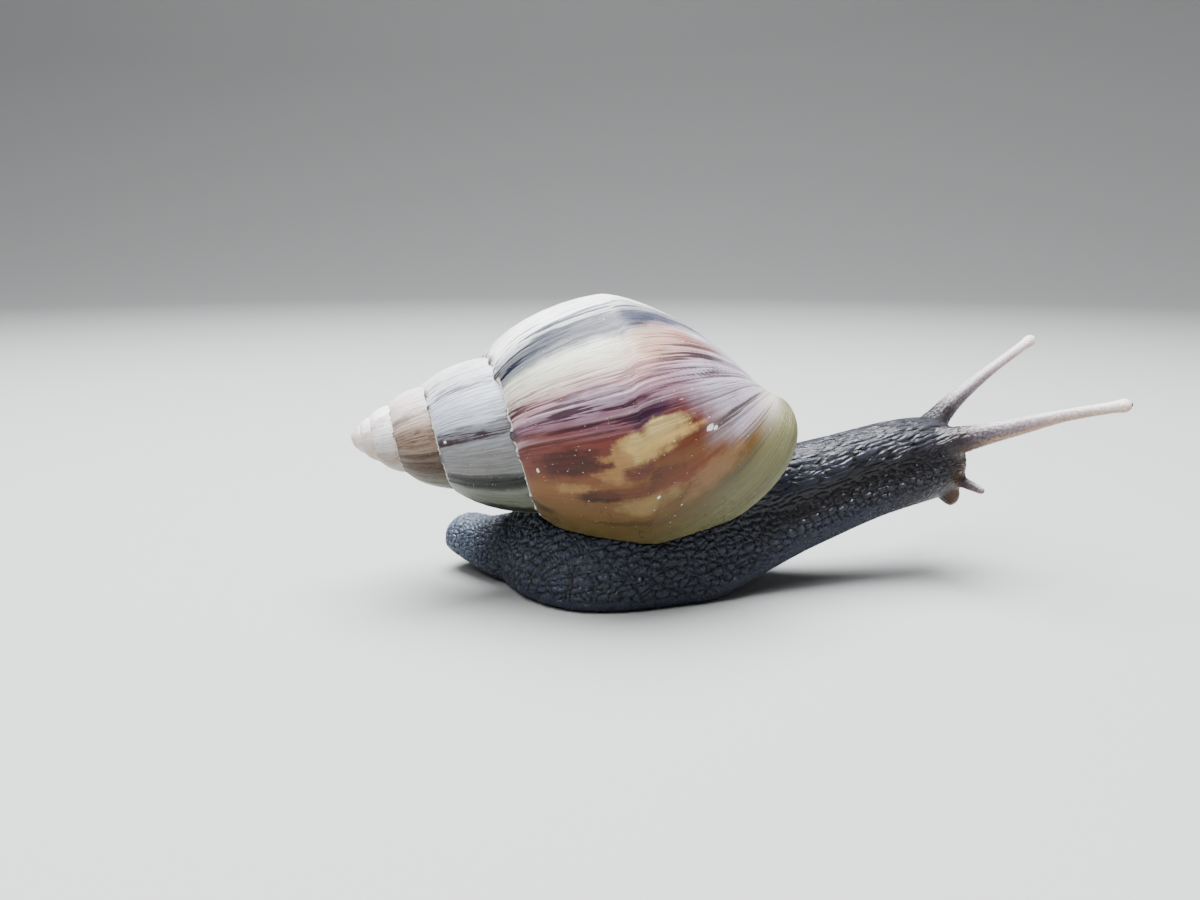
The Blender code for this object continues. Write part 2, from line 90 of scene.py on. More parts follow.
MANTLE_INSET = 1.3 * MM
MANTLE_BULGE = 0.8 * MM
MANTLE_SETBACK = 0.008
MANTLE_ROOT = 0.037

# ---- shell: resolution and relief ------------------------------------------
STEPS_PER_TURN = 720
SPIRE_STRIPS = 14
BASE_STRIPS = 44
MOUTH_STRIPS = 8
RIDGE_HEIGHT = 0.085 * MM
WRINKLE_HEIGHT = 0.06 * MM         # slow unevenness of the whorls
SUTURE_STEP = 0.26 * MM            # a whorl's upper edge stands proud of the one before
SUTURE_FOLD = 0.42 * MM            # crenulation of that edge
GUTTER_DEPTH = 0.12 * MM           # shallow furrow below it
SKIN_CLEARANCE = 0.05 * MM

# ---- flesh: the part's own measures ----------------------------------------
# x, y, z of the widest line; pitch; half width; rise above it; drop to the sole;
# power of the sides; how soon the sole turns flat (1 is round).
STATIONS = (
    (-25.0, 15.4, 5.4, 0.0, 2.8, 1.9, 1.5, 1.0, 1.0),
    (-23.8, 14.2, 4.4, 0.0, 4.5, 4.4, 1.3, 0.9, 1.0),
    (-19.8, 11.4, 3.0, 0.0, 5.6, 6.0, 1.3, 1.0, 1.1),
    (-13.5, 8.2, 1.5, 0.0, 6.8, 10.0, 1.5, 1.2, 1.15),
    (-1.0, 1.8, 1.5, 0.0, 12.0, 16.0, 1.5, 1.3, 2.4),
    (12.5, 3.2, 1.5, 0.0, 9.6, 20.0, 1.5, 1.2, 2.4),
    (21.0, 4.8, 4.8, 8.0, 8.2, 17.6, 2.0, 0.9, 2.4),
    (31.0, 6.4, 9.6, 14.0, 7.0, 12.7, 2.4, 0.8, 1.9),
    (41.0, 8.6, 13.4, 12.0, 6.4, 10.8, 2.6, 0.8, 1.7),
    (49.0, 10.4, 16.2, 8.0, 6.6, 9.5, 3.4, 0.85, 1.4),
    (55.0, 12.0, 18.2, 0.0, 5.8, 7.0, 5.0, 0.9, 1.1),
    (57.8, 12.7, 17.8, 0.0, 3.9, 4.8, 4.4, 0.95, 1.0),
    (59.1, 13.0, 17.4, 0.0, 0.9, 1.3, 1.2, 1.0, 1.0),
)
BACK_POWER = 0.9
UPPER_TENTACLES = {
    "right": (
        ((53.6, 8.8, 21.8), (57.0, 6.9, 23.1), (63.6, 4.0, 25.5), (70.0, 0.9, 28.0), (78.2, -2.5, 30.3)),
        ((0.0, 3.2), (0.16, 2.1), (0.3, 1.65), (0.5, 1.28), (0.7, 0.95), (0.9, 0.88),
         (0.96, 1.05), (1.0, 0.8)),
    ),
    "left": (
        ((53.6, 14.0, 22.6), (57.4, 17.2, 26.0), (64.5, 23.0, 30.0), (78.9, 33.7, 36.8)),
        ((0.0, 3.0), (0.16, 1.75), (0.4, 1.22), (0.7, 0.9), (0.9, 0.88), (0.96, 1.05), (1.0, 0.8)),
    ),
}
LOWER_TENTACLES = {
    "right": (((56.4, 9.4, 16.5), (58.4, 7.7, 15.6), (60.3, 4.8, 14.9)),
              ((0.0, 1.4), (0.5, 0.85), (1.0, 0.5))),
    "left": (((56.2, 16.2, 16.8), (58.6, 17.9, 15.8), (61.2, 20.6, 15.1)),
             ((0.0, 1.4), (0.5, 0.9), (1.0, 0.5))),
}
MOUTH_LOBES = {
    "right": (((56.0, 10.9, 14.6), (56.9, 10.4, 12.8), (57.2, 10.1, 11.2)),
              ((0.0, 2.1), (0.5, 1.8), (1.0, 0.8))),
    "left": (((55.8, 14.5, 14.6), (56.7, 15.0, 12.8), (57.0, 15.3, 11.2)),
             ((0.0, 2.1), (0.5, 1.8), (1.0, 0.8))),
}
EYE_RADIUS = 0.40 * MM
EYE_SUNK = 0.36 * MM               # its middle lies this far behind the feeler's tip

SKIN_VOXEL = 0.20 * MM
BODY_RING = 0.5 * MM
BODY_SIDES = 120
TUBE_SIDES = 24


# ---- numbers ---------------------------------------------------------------
def smooth(value):
    """A soft step from 0 to 1."""
    value = np.clip(value, 0.0, 1.0)
    return value * value * (3.0 - 2.0 * value)


def monotone_curve(knots, values):
    """A smooth curve through the knots that never overshoots them."""
    knots = np.asarray(knots, float)
    values = np.asarray(values, float)
    widths = np.diff(knots)
    slopes = np.diff(values) / widths
    tangents = np.zeros(len(knots))
    tangents[0], tangents[-1] = slopes[0], slopes[-1]
    for i in range(1, len(knots) - 1):
        if slopes[i - 1] * slopes[i] > 0.0:
            tangents[i] = 2.0 * slopes[i - 1] * slopes[i] / (slopes[i - 1] + slopes[i])

    def curve(at):
        at = np.asarray(at, float)
        i = np.clip(np.searchsorted(knots, at) - 1, 0, len(widths) - 1)
        u = (at - knots[i]) / widths[i]
        rise = (values[i] * (1 + 2 * u) + tangents[i] * widths[i] * u) * (1 - u) ** 2
        fall = (values[i + 1] * (3 - 2 * u) - tangents[i + 1] * widths[i] * (1 - u)) * u ** 2
        return rise + fall

    return curve


def bell(offset, width):
    """1 in the middle, falling away on both sides over about the width."""
    return np.exp(-((offset / width) ** 2))


def dot(a, b):
    return (a * b).sum(axis=1)


def unit(vectors):
    """The same vectors at length one, and none where there is no direction."""
    return vectors / np.maximum(np.linalg.norm(vectors, axis=-1, keepdims=True), 1e-12)


def distances(points):
    """How far each point of a path lies along it."""
    return np.append(0.0, np.cumsum(np.linalg.norm(np.diff(points, axis=0), axis=1)))


def scatter(row, column, draw):
    """An even random number in 0 to 1 for every place of a grid."""
    value = np.sin(row * 12.9898 + column * 78.233 + draw * 37.719) * 43758.5453
    return value - np.floor(value)


def noise(u, v, draw=0):
    """Smooth noise in -1 to 1 whose features are about one unit across."""
    row, column = np.floor(u), np.floor(v)
    fu, fv = smooth(u - row), smooth(v - column)
    low = scatter(row, column, draw) * (1 - fu) + scatter(row + 1, column, draw) * fu
    high = scatter(row, column + 1, draw) * (1 - fu) + scatter(row + 1, column + 1, draw) * fu
    return 2.0 * (low * (1 - fv) + high * fv) - 1.0


def cells(u, v, draw=0, jitter=0.85):
    """A jittered grid of cells: how far inside its cell each point lies, 0 on the
    border, how far it is from the cell's middle, and a random number of the cell's own."""
    row, column = np.floor(u), np.floor(v)
    nearest = np.full(u.shape, 9.0)
    second = nearest.copy()
    own = np.zeros(u.shape)
    for step_u in (-1, 0, 1):
        for step_v in (-1, 0, 1):
            r, c = row + step_u, column + step_v
            centre_u = r + 0.5 + jitter * (scatter(r, c, draw + 1) - 0.5)
            centre_v = c + 0.5 + jitter * (scatter(r, c, draw + 2) - 0.5)
            distance = np.hypot(centre_u - u, centre_v - v)
            closer = distance < nearest
            second = np.where(closer, nearest, np.minimum(second, distance))
            own = np.where(closer, scatter(r, c, draw + 3), own)
            nearest = np.minimum(nearest, distance)
    return second - nearest, nearest, own


# ---- mesh helpers ----------------------------------------------------------
def grid_faces(rows, columns, first=0):
    """Quads between the points of a grid stored row by row, as an array."""
    corner = np.arange(rows * columns).reshape(rows, columns)[:-1, :-1].ravel() + first
    return np.stack((corner, corner + 1, corner + columns + 1, corner + columns), axis=1)


def placed(name, data):
    """A new object in the scene that shows the data."""
    item = bpy.data.objects.new(name, data)
    bpy.context.scene.collection.objects.link(item)
    return item


def ring_corners(rings, sides):
    """Point numbers of closed rings stored one after another, and of their neighbours."""
    corner = np.arange(rings * sides).reshape(rings, sides)
    return corner, np.roll(corner, -1, axis=1)


def closed_object(name, points, faces, corner_values=None):
    """A welded object that faces outward; corner_values are named numbers per point,
    kept on the faces' corners so that two sheets can meet with their own values."""
    mesh = bpy.data.meshes.new(name)
    mesh.from_pydata(points.tolist(), [], [list(map(int, face)) for face in faces])
    corners = np.empty(len(mesh.loops), dtype=np.int64)
    mesh.loops.foreach_get("vertex_index", corners)
    for key, values in (corner_values or {}).items():
        layer = mesh.attributes.new(key, "FLOAT", "CORNER")
        layer.data.foreach_set("value", values[corners].astype(np.float32))
    shape = bmesh.new()
    shape.from_mesh(mesh)
    bmesh.ops.remove_doubles(shape, verts=shape.verts, dist=WELD)
    bmesh.ops.dissolve_degenerate(shape, edges=shape.edges, dist=WELD)
    slits = [edge for edge in shape.edges if edge.is_boundary]
    bmesh.ops.holes_fill(shape, edges=slits, sides=0)
    bmesh.ops.recalc_face_normals(shape, faces=shape.faces)
    shape.to_mesh(mesh)
    shape.free()
    mesh.shade_smooth()
    return placed(name, mesh)


def vertex_array(mesh, field="co"):
    values = np.empty(len(mesh.vertices) * 3)
    source = mesh.vertices if field == "co" else mesh.vertex_normals
    source.foreach_get("co" if field == "co" else "vector", values)
    return values.reshape(-1, 3)


def apply_modifiers(piece):
    """The piece's mesh with its modifiers worked in."""
    graph = bpy.context.evaluated_depsgraph_get()
    mesh = bpy.data.meshes.new_from_object(piece.evaluated_get(graph))
    piece.modifiers.clear()
    piece.data = mesh
    return mesh


# ---- shell form ------------------------------------------------------------
def shell_axes():
    """The shell's axis, and the directions to the snail's right and down from it."""
    yaw = math.radians(AXIS_YAW)
    pitch = math.radians(AXIS_PITCH)
    along = np.array((math.cos(pitch) * math.cos(yaw), math.cos(pitch) * math.sin(yaw), math.sin(pitch)))
    right = np.array((math.sin(yaw), -math.cos(yaw), 0.0))
    return along, right, np.cross(along, right)


ALONG, RIGHT, DOWN = shell_axes()

face_lean = monotone_curve(
    (0.0, 0.04 * BASE_LENGTH, 0.25 * BASE_LENGTH, 0.68 * BASE_LENGTH, 0.9 * BASE_LENGTH, BASE_LENGTH),
    (-80.0, -50.0, -30.0, 0.0, 40.0, 90.0),
)


def growth_lag(across):
    """How far a growth line trails behind the suture, in turns."""
    base = np.maximum(across - 1.0, 0.0)
    straight, steep = LAG_BASE_SHARES
    spire_part = LAG_PERIPHERY * np.clip(across, 0.0, 1.0) ** LAG_SPIRE_POWER
    base_part = (LAG_BASE - LAG_PERIPHERY) * (straight * base + steep * base ** 3)
    return (spire_part + base_part) / TURN


def whorl_profile(turn, across):
    """Length along the axis and radius of the shell's face: across is 0 on the suture
    above, 1 on the periphery (or the suture below) and 2 at the foot of the columella."""
    suture_length = np.hypot(APEX_DOME, SUTURE_LENGTH * SUTURE_LENGTH_GROWTH ** turn)
    suture_radius = SUTURE_RADIUS * SUTURE_RADIUS_GROWTH ** turn
    below_length = np.hypot(APEX_DOME, SUTURE_LENGTH * SUTURE_LENGTH_GROWTH ** (turn + 1.0))
    below_radius = SUTURE_RADIUS * SUTURE_RADIUS_GROWTH ** (turn + 1.0)
    free = smooth((turn + 1.0) / PERIPHERY_ONSET)
    wide_length = PERIPHERY_SETBACK + PERIPHERY_LENGTH * PERIPHERY_LENGTH_GROWTH ** turn
    wide_radius = PERIPHERY_RADIUS * PERIPHERY_RADIUS_GROWTH ** turn
    edge_length = below_length * (1.0 - free) + wide_length * free
    edge_radius = below_radius * (1.0 - free) + wide_radius * free

    sweep = np.clip(across, 0.0, 1.0) * math.pi / 2.0
    spire_length = suture_length + (edge_length - suture_length) * (1.0 - np.cos(sweep) ** WHORL_BULGE)
    spire_radius = suture_radius + (edge_radius - suture_radius) * np.sin(sweep) ** WHORL_BULGE

    base = np.clip(across - 1.0, 0.0, 1.0)
    sweep = base * math.pi / 2.0
    age = turn + growth_lag(across)
    lip_share = smooth((age + BASE_CHANGE) / BASE_CHANGE)
    power_along = BASE_POWERS_OLD[0] + (BASE_POWERS_LIP[0] - BASE_POWERS_OLD[0]) * lip_share
    power_across = BASE_POWERS_OLD[1] + (BASE_POWERS_LIP[1] - BASE_POWERS_OLD[1]) * lip_share
    flare = LIP_FLARE * smooth((age + LIP_FLARE_SPAN) / LIP_FLARE_SPAN) ** LIP_FLARE_ONSET
    base_length = edge_length + (BASE_LENGTH - edge_length) * np.sin(sweep) ** power_along
    base_length = base_length + flare * np.sin(math.pi * base ** LIP_FLARE_PLACE)
    base_radius = edge_radius * np.clip(np.cos(sweep), 0.0, 1.0) ** power_across

    on_base = across > 1.0
    return np.where(on_base, base_length, spire_length), np.where(on_base, base_radius, spire_radius)


def shell_point(turn, across, swell=0.0, along_shift=0.0):
    """Points of the shell's face, moved out by swell and along the axis by a shift."""
    turn, across = np.broadcast_arrays(np.asarray(turn, float), np.asarray(across, float))
    length, radius = whorl_profile(turn, across)
    angle = np.radians(LIP_ANGLE + TURN * turn)[..., None]
    outward = RIGHT * np.cos(angle) + DOWN * np.sin(angle)
    lean = np.radians(face_lean(np.minimum(length, BASE_LENGTH)))[..., None]
    normal = outward * np.cos(lean) + ALONG * np.sin(lean)
    point = APEX_POINT + ALONG * length[..., None] + outward * radius[..., None]
    point = point + normal * np.asarray(swell)[..., None]
    return point + ALONG * np.asarray(along_shift)[..., None]


def parietal_turn(across):
    """The line where the mouth's inner side lies on the whorl before it."""
    return -1.0 + PARIETAL_SPREAD * smooth(across - 1.0)


def marking_age(turn, across):
    """The age of the growth line through each point, with the gentler lag that the
    markings keep on part of the base."""
    age = turn + growth_lag(across)
    drift = 0.07 * np.clip(across - 1.0, 0.0, 0.75) ** 1.2
    return age - drift * smooth(-age / 0.12) * smooth((age + 0.42) / 0.2)


def growth_ridges(mark, across):
    """Fine ridges along the growth lines, about -1 in the grooves and 1 on the crests."""
    bend = mark + 0.0022 * noise(mark * 30.0, across * 2.2, 6)
    ridges = noise(bend * 300.0, across * 1.3, 1) + 0.45 * noise(bend * 120.0, across * 1.0, 2)
    return np.clip(ridges * 1.2, -1.2, 1.2)


def ridge_strength(mark, across):
    """How strongly the ridges show: most in the dark streaks and near the suture."""
    old_streak = smooth((mark + 0.47) / 0.04) * smooth((-0.365 - mark) / 0.02)
    new_streak = smooth((mark + 0.335) / 0.03) * smooth((-0.235 - mark) / 0.04)
    near_lip = 0.35 * smooth((mark + 0.10) / 0.08)
    base_lines = smooth((across - 1.1) / 0.2) * smooth((-0.17 - mark) / 0.06)
    spire = smooth((-0.55 - mark) / 0.15)
    patchy = 0.65 + 0.35 * noise(mark * 20.0, across * 2.6, 5)
    top = 0.5 * bell(across, 0.22)
    strong = np.maximum.reduce([old_streak, new_streak, near_lip, 0.9 * base_lines, 0.55 * spire])
    return (0.16 + 0.84 * strong) * patchy + top


def suture_folds(turn):
    """The crenulation of a whorl's upper edge: beads about a millimetre long with
    narrow notches between them."""
    flat = np.zeros_like(turn)
    beads = noise(turn * 105.0, flat, 7) + 0.6 * noise(turn * 47.0, flat, 8)
    beads = beads + 0.3 * noise(turn * 190.0, flat, 9)
    return np.clip(beads * 1.5 + 0.3, -1.0, 1.0)


def shell_relief(turn, across):
    """How far the shell's face stands out there, how far it is shifted along the
    axis, and the growth ridges and suture beads alone. It is nothing on the
    sutures' lines, at the lip and on the parietal line."""
    age = turn + growth_lag(across)
    mark = marking_age(turn, across)
    size = np.clip(1.0 + turn * 0.22, 0.12, 1.0)
    ridges = growth_ridges(mark, across) * ridge_strength(mark, across)
    slow = noise(mark * 30.0, across * 1.2, 3) + 0.5 * noise(mark * 66.0, across * 2.0, 4)
    height = (RIDGE_HEIGHT * ridges + WRINKLE_HEIGHT * slow) * size

    fold = suture_folds(turn)
    next_fold = suture_folds(turn + 1.0)
    upper = np.minimum(across / 0.012, 1.0)
    height = height + SUTURE_STEP * size * bell(across, 0.11) * upper * (1.0 + 0.9 * fold)
    height = height - GUTTER_DEPTH * size * bell(across - 0.24, 0.07)

    closed = smooth((across - 0.9) / 0.1) * smooth((-0.96 - turn) / 0.04)
    height = height * upper * (1.0 - closed)
    height = height * smooth(-age / 0.012)
    on_base = across > 1.0
    height = height * np.where(on_base, smooth((turn - parietal_turn(across)) / 0.03), 1.0)
    height = height * smooth((1.99 - across) / 0.06)

    shift_here = SUTURE_FOLD * size * fold * bell(across, 0.10)
    older = np.clip(1.0 + (turn + 1.0) * 0.22, 0.12, 1.0)
    shift_next = SUTURE_FOLD * older * next_fold * bell(1.0 - across, 0.10)
    shift_next = shift_next * smooth((-0.96 - turn) / 0.04)
    lip_hold = smooth(-turn / 0.02)
    next_hold = smooth(-(turn + 1.0) / 0.02)
    shift = shift_here * lip_hold * (1.0 - closed) + shift_next * next_hold
    return height, np.where(on_base, 0.0, shift), ridges, fold


def lip_turn(across):
    """The growth line at the lip."""
    return -growth_lag(across)


def spire_across():
    """Places across a whorl of the spire, closer together at its two sutures."""
    steps = np.arange(SPIRE_STRIPS + 1) / SPIRE_STRIPS
    return (1.0 - np.cos(math.pi * steps)) / 2.0


def base_across():
    return 1.0 + np.arange(BASE_STRIPS + 1) / BASE_STRIPS


def mouth_places(spire, base):
    """Places round the mouth from the suture to the columella: the share of the way,
    and how far across the whorl the lip and the parietal line are there."""
    spire_strips, base_strips = len(spire) - 1, len(base) - 1
    steps = spire_strips + base_strips
    slow_steps = 2 * spire_strips
    step = np.arange(steps + 1)
    lip = np.where(step <= spire_strips, spire[np.minimum(step, spire_strips)],
                   base[np.clip(step - spire_strips, 0, base_strips)])
    side = base[np.where(step < slow_steps, step // 2, step - spire_strips)]
    return step / steps, lip, side


def mouth_point(places, over, inset=0.0, depth=0.0, swell=0.0):
    """Points of a skin stretched over the mouth: over is 0 at the lip and 1 on the
    parietal line, inset is the distance inside the lip's outer face, and depth the
    turns behind its edge."""
    share, lip_across, side_across = places
    taper = smooth(share / MOUTH_TAPER) * smooth((1.0 - share) / MOUTH_TAPER)
    turn = lip_turn(lip_across) - depth * taper
    lip = shell_point(turn, lip_across, swell - inset * taper)
    side = shell_point(parietal_turn(side_across), side_across, np.full(share.shape, swell))
    return lip * (1.0 - over) + side * over


def mouth_direction():
    """The direction that the shell's mouth faces."""
    places = mouth_places(np.linspace(0.0, 1.0, 6), np.linspace(1.0, 2.0, 11))
    loop = np.concatenate((mouth_point(places, 0.0), mouth_point(places, 1.0)[::-1]))
    total = np.cross(loop, np.roll(loop, -1, axis=0)).sum(axis=0)
    total /= np.linalg.norm(total)
    return total if total[2] < 0.0 else -total


MOUTH_FACING = mouth_direction()


def shell_face(steps_per_turn, spire, base, swell=0.0, relief=False):
    """Points and faces of the spiral's outer face, then the turn, the place across
    the whorl, the ridge and the suture's fold at each point."""
    rows = int(round(-FIRST_TURN * steps_per_turn))
    lag_rows = int(round(LAG_PERIPHERY / TURN * steps_per_turn))
    ages = (np.arange(rows + 1) - rows) / steps_per_turn
    across = np.broadcast_to(spire, (rows + 1, len(spire)))
    turn = ages[:, None] - growth_lag(across)
    turn[-1] = lip_turn(spire)
    turns, places = [turn.ravel()], [across.ravel()]
    faces = [grid_faces(rows + 1, len(spire))]

    base_rows = steps_per_turn - lag_rows
    across = np.broadcast_to(base, (base_rows + 1, len(base)))
    share = (np.arange(base_rows + 1) / base_rows)[:, None]
    start = parietal_turn(across)
    end = lip_turn(across)
    turn = start + (end - start) * share
    faces.append(grid_faces(base_rows + 1, len(base), len(turns[0])))
    turns.append(turn.ravel())
    places.append(across.ravel())

    turns, places = np.concatenate(turns), np.concatenate(places)
    height, shift, ridges, folds = shell_relief(turns, places) if relief else (np.zeros_like(turns),) * 4
    points = shell_point(turns, places, swell + height, shift)

    # a fan closes the apex over the first turn of the suture
    columns = len(spire)
    rim = list(range(columns - 1, -1, -1))
    rim += [row * columns for row in range(1, steps_per_turn - lag_rows + 1)]
    apex = len(points)
    points = np.concatenate((points, (APEX_POINT + ALONG * (APEX_DOME - swell))[None]))
    turns = np.append(turns, FIRST_TURN)
    places = np.append(places, 0.0)
    ridges = np.append(ridges, 0.0)
    folds = np.append(folds, 0.0)
    fan = [(apex, here, there) for here, there in zip(rim, rim[1:])]
    return points, [*np.concatenate(faces).tolist(), *fan], (turns, places, ridges, folds)


def build_shell():
    """The spiral with its growth relief, and a thin lip round an open mouth."""
    spire, base = spire_across(), base_across()
    points, faces, (turns, across, ridges, folds) = shell_face(STEPS_PER_TURN, spire, base, relief=True)
    first = len(points)
    places = mouth_places(spire, base)
    rows = [mouth_point(places, 0.0)]
    for inset, depth in ((0.35, -0.0012), (0.8, -0.0008), (1.0, 0.003)):
        rows.append(mouth_point(places, 0.0, inset=LIP_WALL * inset, depth=depth))
    for strip in range(MOUTH_STRIPS + 1):
        rows.append(mouth_point(places, strip / MOUTH_STRIPS, inset=LIP_WALL, depth=MOUTH_DEPTH))
    mouth = np.stack(rows, axis=1)
    faces += grid_faces(mouth.shape[0], mouth.shape[1], first).tolist()
    outer = np.zeros(len(points))
    rim = np.zeros(mouth.shape[0] * mouth.shape[1])
    values = {
        "mark": np.concatenate((marking_age(turns, across), rim)),
        "across": np.concatenate((across, np.repeat(places[1], mouth.shape[1]))),
        "ridge": np.concatenate((ridges, rim)),
        "fold": np.concatenate((folds, rim)),
        "inside": np.concatenate((outer, np.tile(smooth(np.arange(mouth.shape[1]) / 3.0), mouth.shape[0]))),
    }
    points = np.concatenate((points, mouth.reshape(-1, 3)))
    return closed_object("shell_spiral", points, faces, values)


def shell_space():
    """The room that the shell and its mouth fill, for trimming the skin."""
    spire, base = np.linspace(0.0, 1.0, 9), np.linspace(1.0, 2.0, 17)
    points, faces, _ = shell_face(96, spire, base, swell=SKIN_CLEARANCE)
    first = len(points)
    places = mouth_places(spire, base)
    mouth = np.stack([
        mouth_point(places, strip / MOUTH_STRIPS, swell=SKIN_CLEARANCE) for strip in range(MOUTH_STRIPS + 1)
    ], axis=1)
    faces += grid_faces(mouth.shape[0], mouth.shape[1], first).tolist()
    return closed_object("shell_space", np.concatenate((points, mouth.reshape(-1, 3))), faces)


# ---- flesh form ------------------------------------------------------------
class Body:
    """The body without its shell and feelers, as one form along its stations."""

    def __init__(self):
        rows = np.array(STATIONS)
        self.curves = [monotone_curve(np.arange(len(rows)), rows[:, i]) for i in range(rows.shape[1])]
        self.last = len(rows) - 1

    def frame(self, station):
        """The middle of the widest line there, and the directions left and up."""
        here = np.stack([self.curves[i](station) for i in range(3)], axis=-1) * MM
        reach = [self.curves[i](station + 0.05) - self.curves[i](station - 0.05) for i in range(2)]
        length = np.hypot(*reach)
        east, north = reach[0] / length, reach[1] / length
        pitch = np.radians(self.curves[3](station))
        forward = np.stack((east * np.cos(pitch), north * np.cos(pitch), np.sin(pitch)), axis=-1)
        left = np.stack((-north, east, np.zeros_like(east)), axis=-1)
        return here, left, np.cross(forward, left)

    def point(self, station, angle):
        """Points of the skin: angle 0 is the left side and 90 degrees the back."""
        here, left, up = self.frame(station)
        width, rise, drop, power, flatness = [self.curves[i](station) for i in range(4, 9)]
        side, height = np.cos(angle), np.sin(angle)
        across = width * MM * np.copysign(np.abs(side) ** power, side)
        above = rise * MM * np.clip(height, 0.0, 1.0) ** BACK_POWER
        below = -drop * MM * np.minimum(1.0, np.clip(-height, 0.0, 1.0) * flatness)
        along_up = np.where(height >= 0.0, above, below)
        return here + left * across[..., None] + up * along_up[..., None]

    def even_stations(self):
        """Stations one ring's spacing apart along the body."""
        fine = np.linspace(0.0, self.last, 2000)
        middle = self.frame(fine)[0]
        travelled = distances(middle)
        count = int(round(travelled[-1] / BODY_RING))
        return np.interp(np.linspace(0.0, travelled[-1], count + 1), travelled, fine)

    def sheet(self):
        """Stations, angles and points of a fine net over the whole skin."""
        stations = self.even_stations()
        angles = math.pi / 2.0 + math.tau * np.arange(BODY_SIDES) / BODY_SIDES
        station, angle = np.meshgrid(stations, angles, indexing="ij")
        return station, angle, self.point(station, angle)


def tube(path, radii, step=0.25 * MM):
    """Points of a tapered tube with a round tip, ring by ring, and its share and middle."""
    points = np.array(path)
    travelled = distances(points)
    knots = travelled / travelled[-1]
    curves = [monotone_curve(knots, points[:, i]) for i in range(3)]
    thickness = monotone_curve(*zip(*radii))
    length = travelled[-1] * MM
    share = np.linspace(0.0, 1.0, int(round(length / step)) + 1)
    middle = np.stack([curve(share) for curve in curves], axis=-1) * MM
    radius = thickness(share) * MM
    tip = radius[-1] * 1.3
    to_tip = (1.0 - share) * length
    radius = radius * np.sqrt(np.clip(1.0 - (1.0 - np.clip(to_tip / tip, 0.0, 1.0)) ** 2, 0.0, 1.0))
    radius[-1] = 1e-5
    forward = unit(np.gradient(middle, axis=0))
    side = unit(np.cross(forward, (0.0, 0.0, 1.0)))
    up = np.cross(side, forward)
    angle = math.tau * np.arange(TUBE_SIDES) / TUBE_SIDES
    ring = side[:, None] * np.cos(angle)[None, :, None] + up[:, None] * np.sin(angle)[None, :, None]
    return middle[:, None] + ring * radius[:, None, None], share, middle


def closed_tube(net):
    """Faces of rings joined into a tube, closed by a fan at each end."""
    rings, sides = net.shape[:2]
    corner, after = ring_corners(rings, sides)
    faces = np.stack((corner[:-1], after[:-1], after[1:], corner[1:]), axis=-1).reshape(-1, 4).tolist()
    points = np.concatenate((net.reshape(-1, 3), net[0].mean(axis=0)[None], net[-1].mean(axis=0)[None]))
    for ring, middle in ((0, len(points) - 2), (rings - 1, len(points) - 1)):
        faces += [(int(a), int(b), middle) for a, b in zip(corner[ring], after[ring])]
    return points, faces


def mantle_form():
    """The fleshy collar that fills the shell's mouth, just inside the lip."""
    share, lip, side = mouth_places(np.linspace(0.0, 1.0, 9), np.linspace(1.0, 2.0, 17))
    keep = (share > MANTLE_SPAN[0]) & (share < MANTLE_SPAN[1])
    places = (share[keep], lip[keep], side[keep])
    face_rows, root_rows = [], []
    for strip in range(MOUTH_STRIPS + 1):
        over = MANTLE_WIDTH * strip / MOUTH_STRIPS
        bulge = MOUTH_FACING * MANTLE_BULGE * math.sin(math.pi * over)
        face_rows.append(mouth_point(places, over, inset=MANTLE_INSET, depth=MANTLE_SETBACK) + bulge)
        root_rows.append(mouth_point(places, over, inset=MANTLE_INSET, depth=MANTLE_ROOT))
    return np.stack(face_rows + root_rows[::-1], axis=1)


def join_forms(forms):
    """One object from several closed nets of rings."""
    points, faces = [], []
    for net in forms:
        own_points, own_faces = closed_tube(net)
        first = sum(len(group) for group in points)
        points.append(own_points)
        faces += [tuple(first + corner for corner in face) for face in own_faces]
    return closed_object("snail_skin", np.concatenate(points), faces)


def build_skin(body):
    """One skin over all the flesh: forms joined, trimmed by the shell, evenly meshed."""
    _, _, net = body.sheet()
    trunk = join_forms([net])
    cutter = shell_space()
    trim = trunk.modifiers.new("trim", "BOOLEAN")
    trim.operation = "DIFFERENCE"
    trim.solver = "EXACT"
    trim.use_self = True
    trim.object = cutter
    apply_modifiers(trunk)
    bpy.data.objects.remove(cutter)

    feelers = [tube(*spec)[0] for group in (UPPER_TENTACLES, LOWER_TENTACLES, MOUTH_LOBES)
               for spec in group.values()]
    limbs = join_forms([*feelers, mantle_form()])
    shape = bmesh.new()
    shape.from_mesh(trunk.data)
    shape.from_mesh(limbs.data)
    shape.to_mesh(trunk.data)
    shape.free()
    bpy.data.objects.remove(limbs)

    remesh = trunk.modifiers.new("even mesh", "REMESH")
    remesh.mode = "VOXEL"
    remesh.voxel_size = SKIN_VOXEL
    apply_modifiers(trunk)
    trunk.data.name = "snail_skin"
    return trunk


# ---- skin relief -----------------------------------------------------------
def nearest_places(points, targets):
    """For each point, the number of the nearest target."""
    tree = KDTree(len(targets))
    for i, target in enumerate(targets):
        tree.insert(target, i)
    tree.balance()
    return np.array([tree.find(point)[1] for point in points])


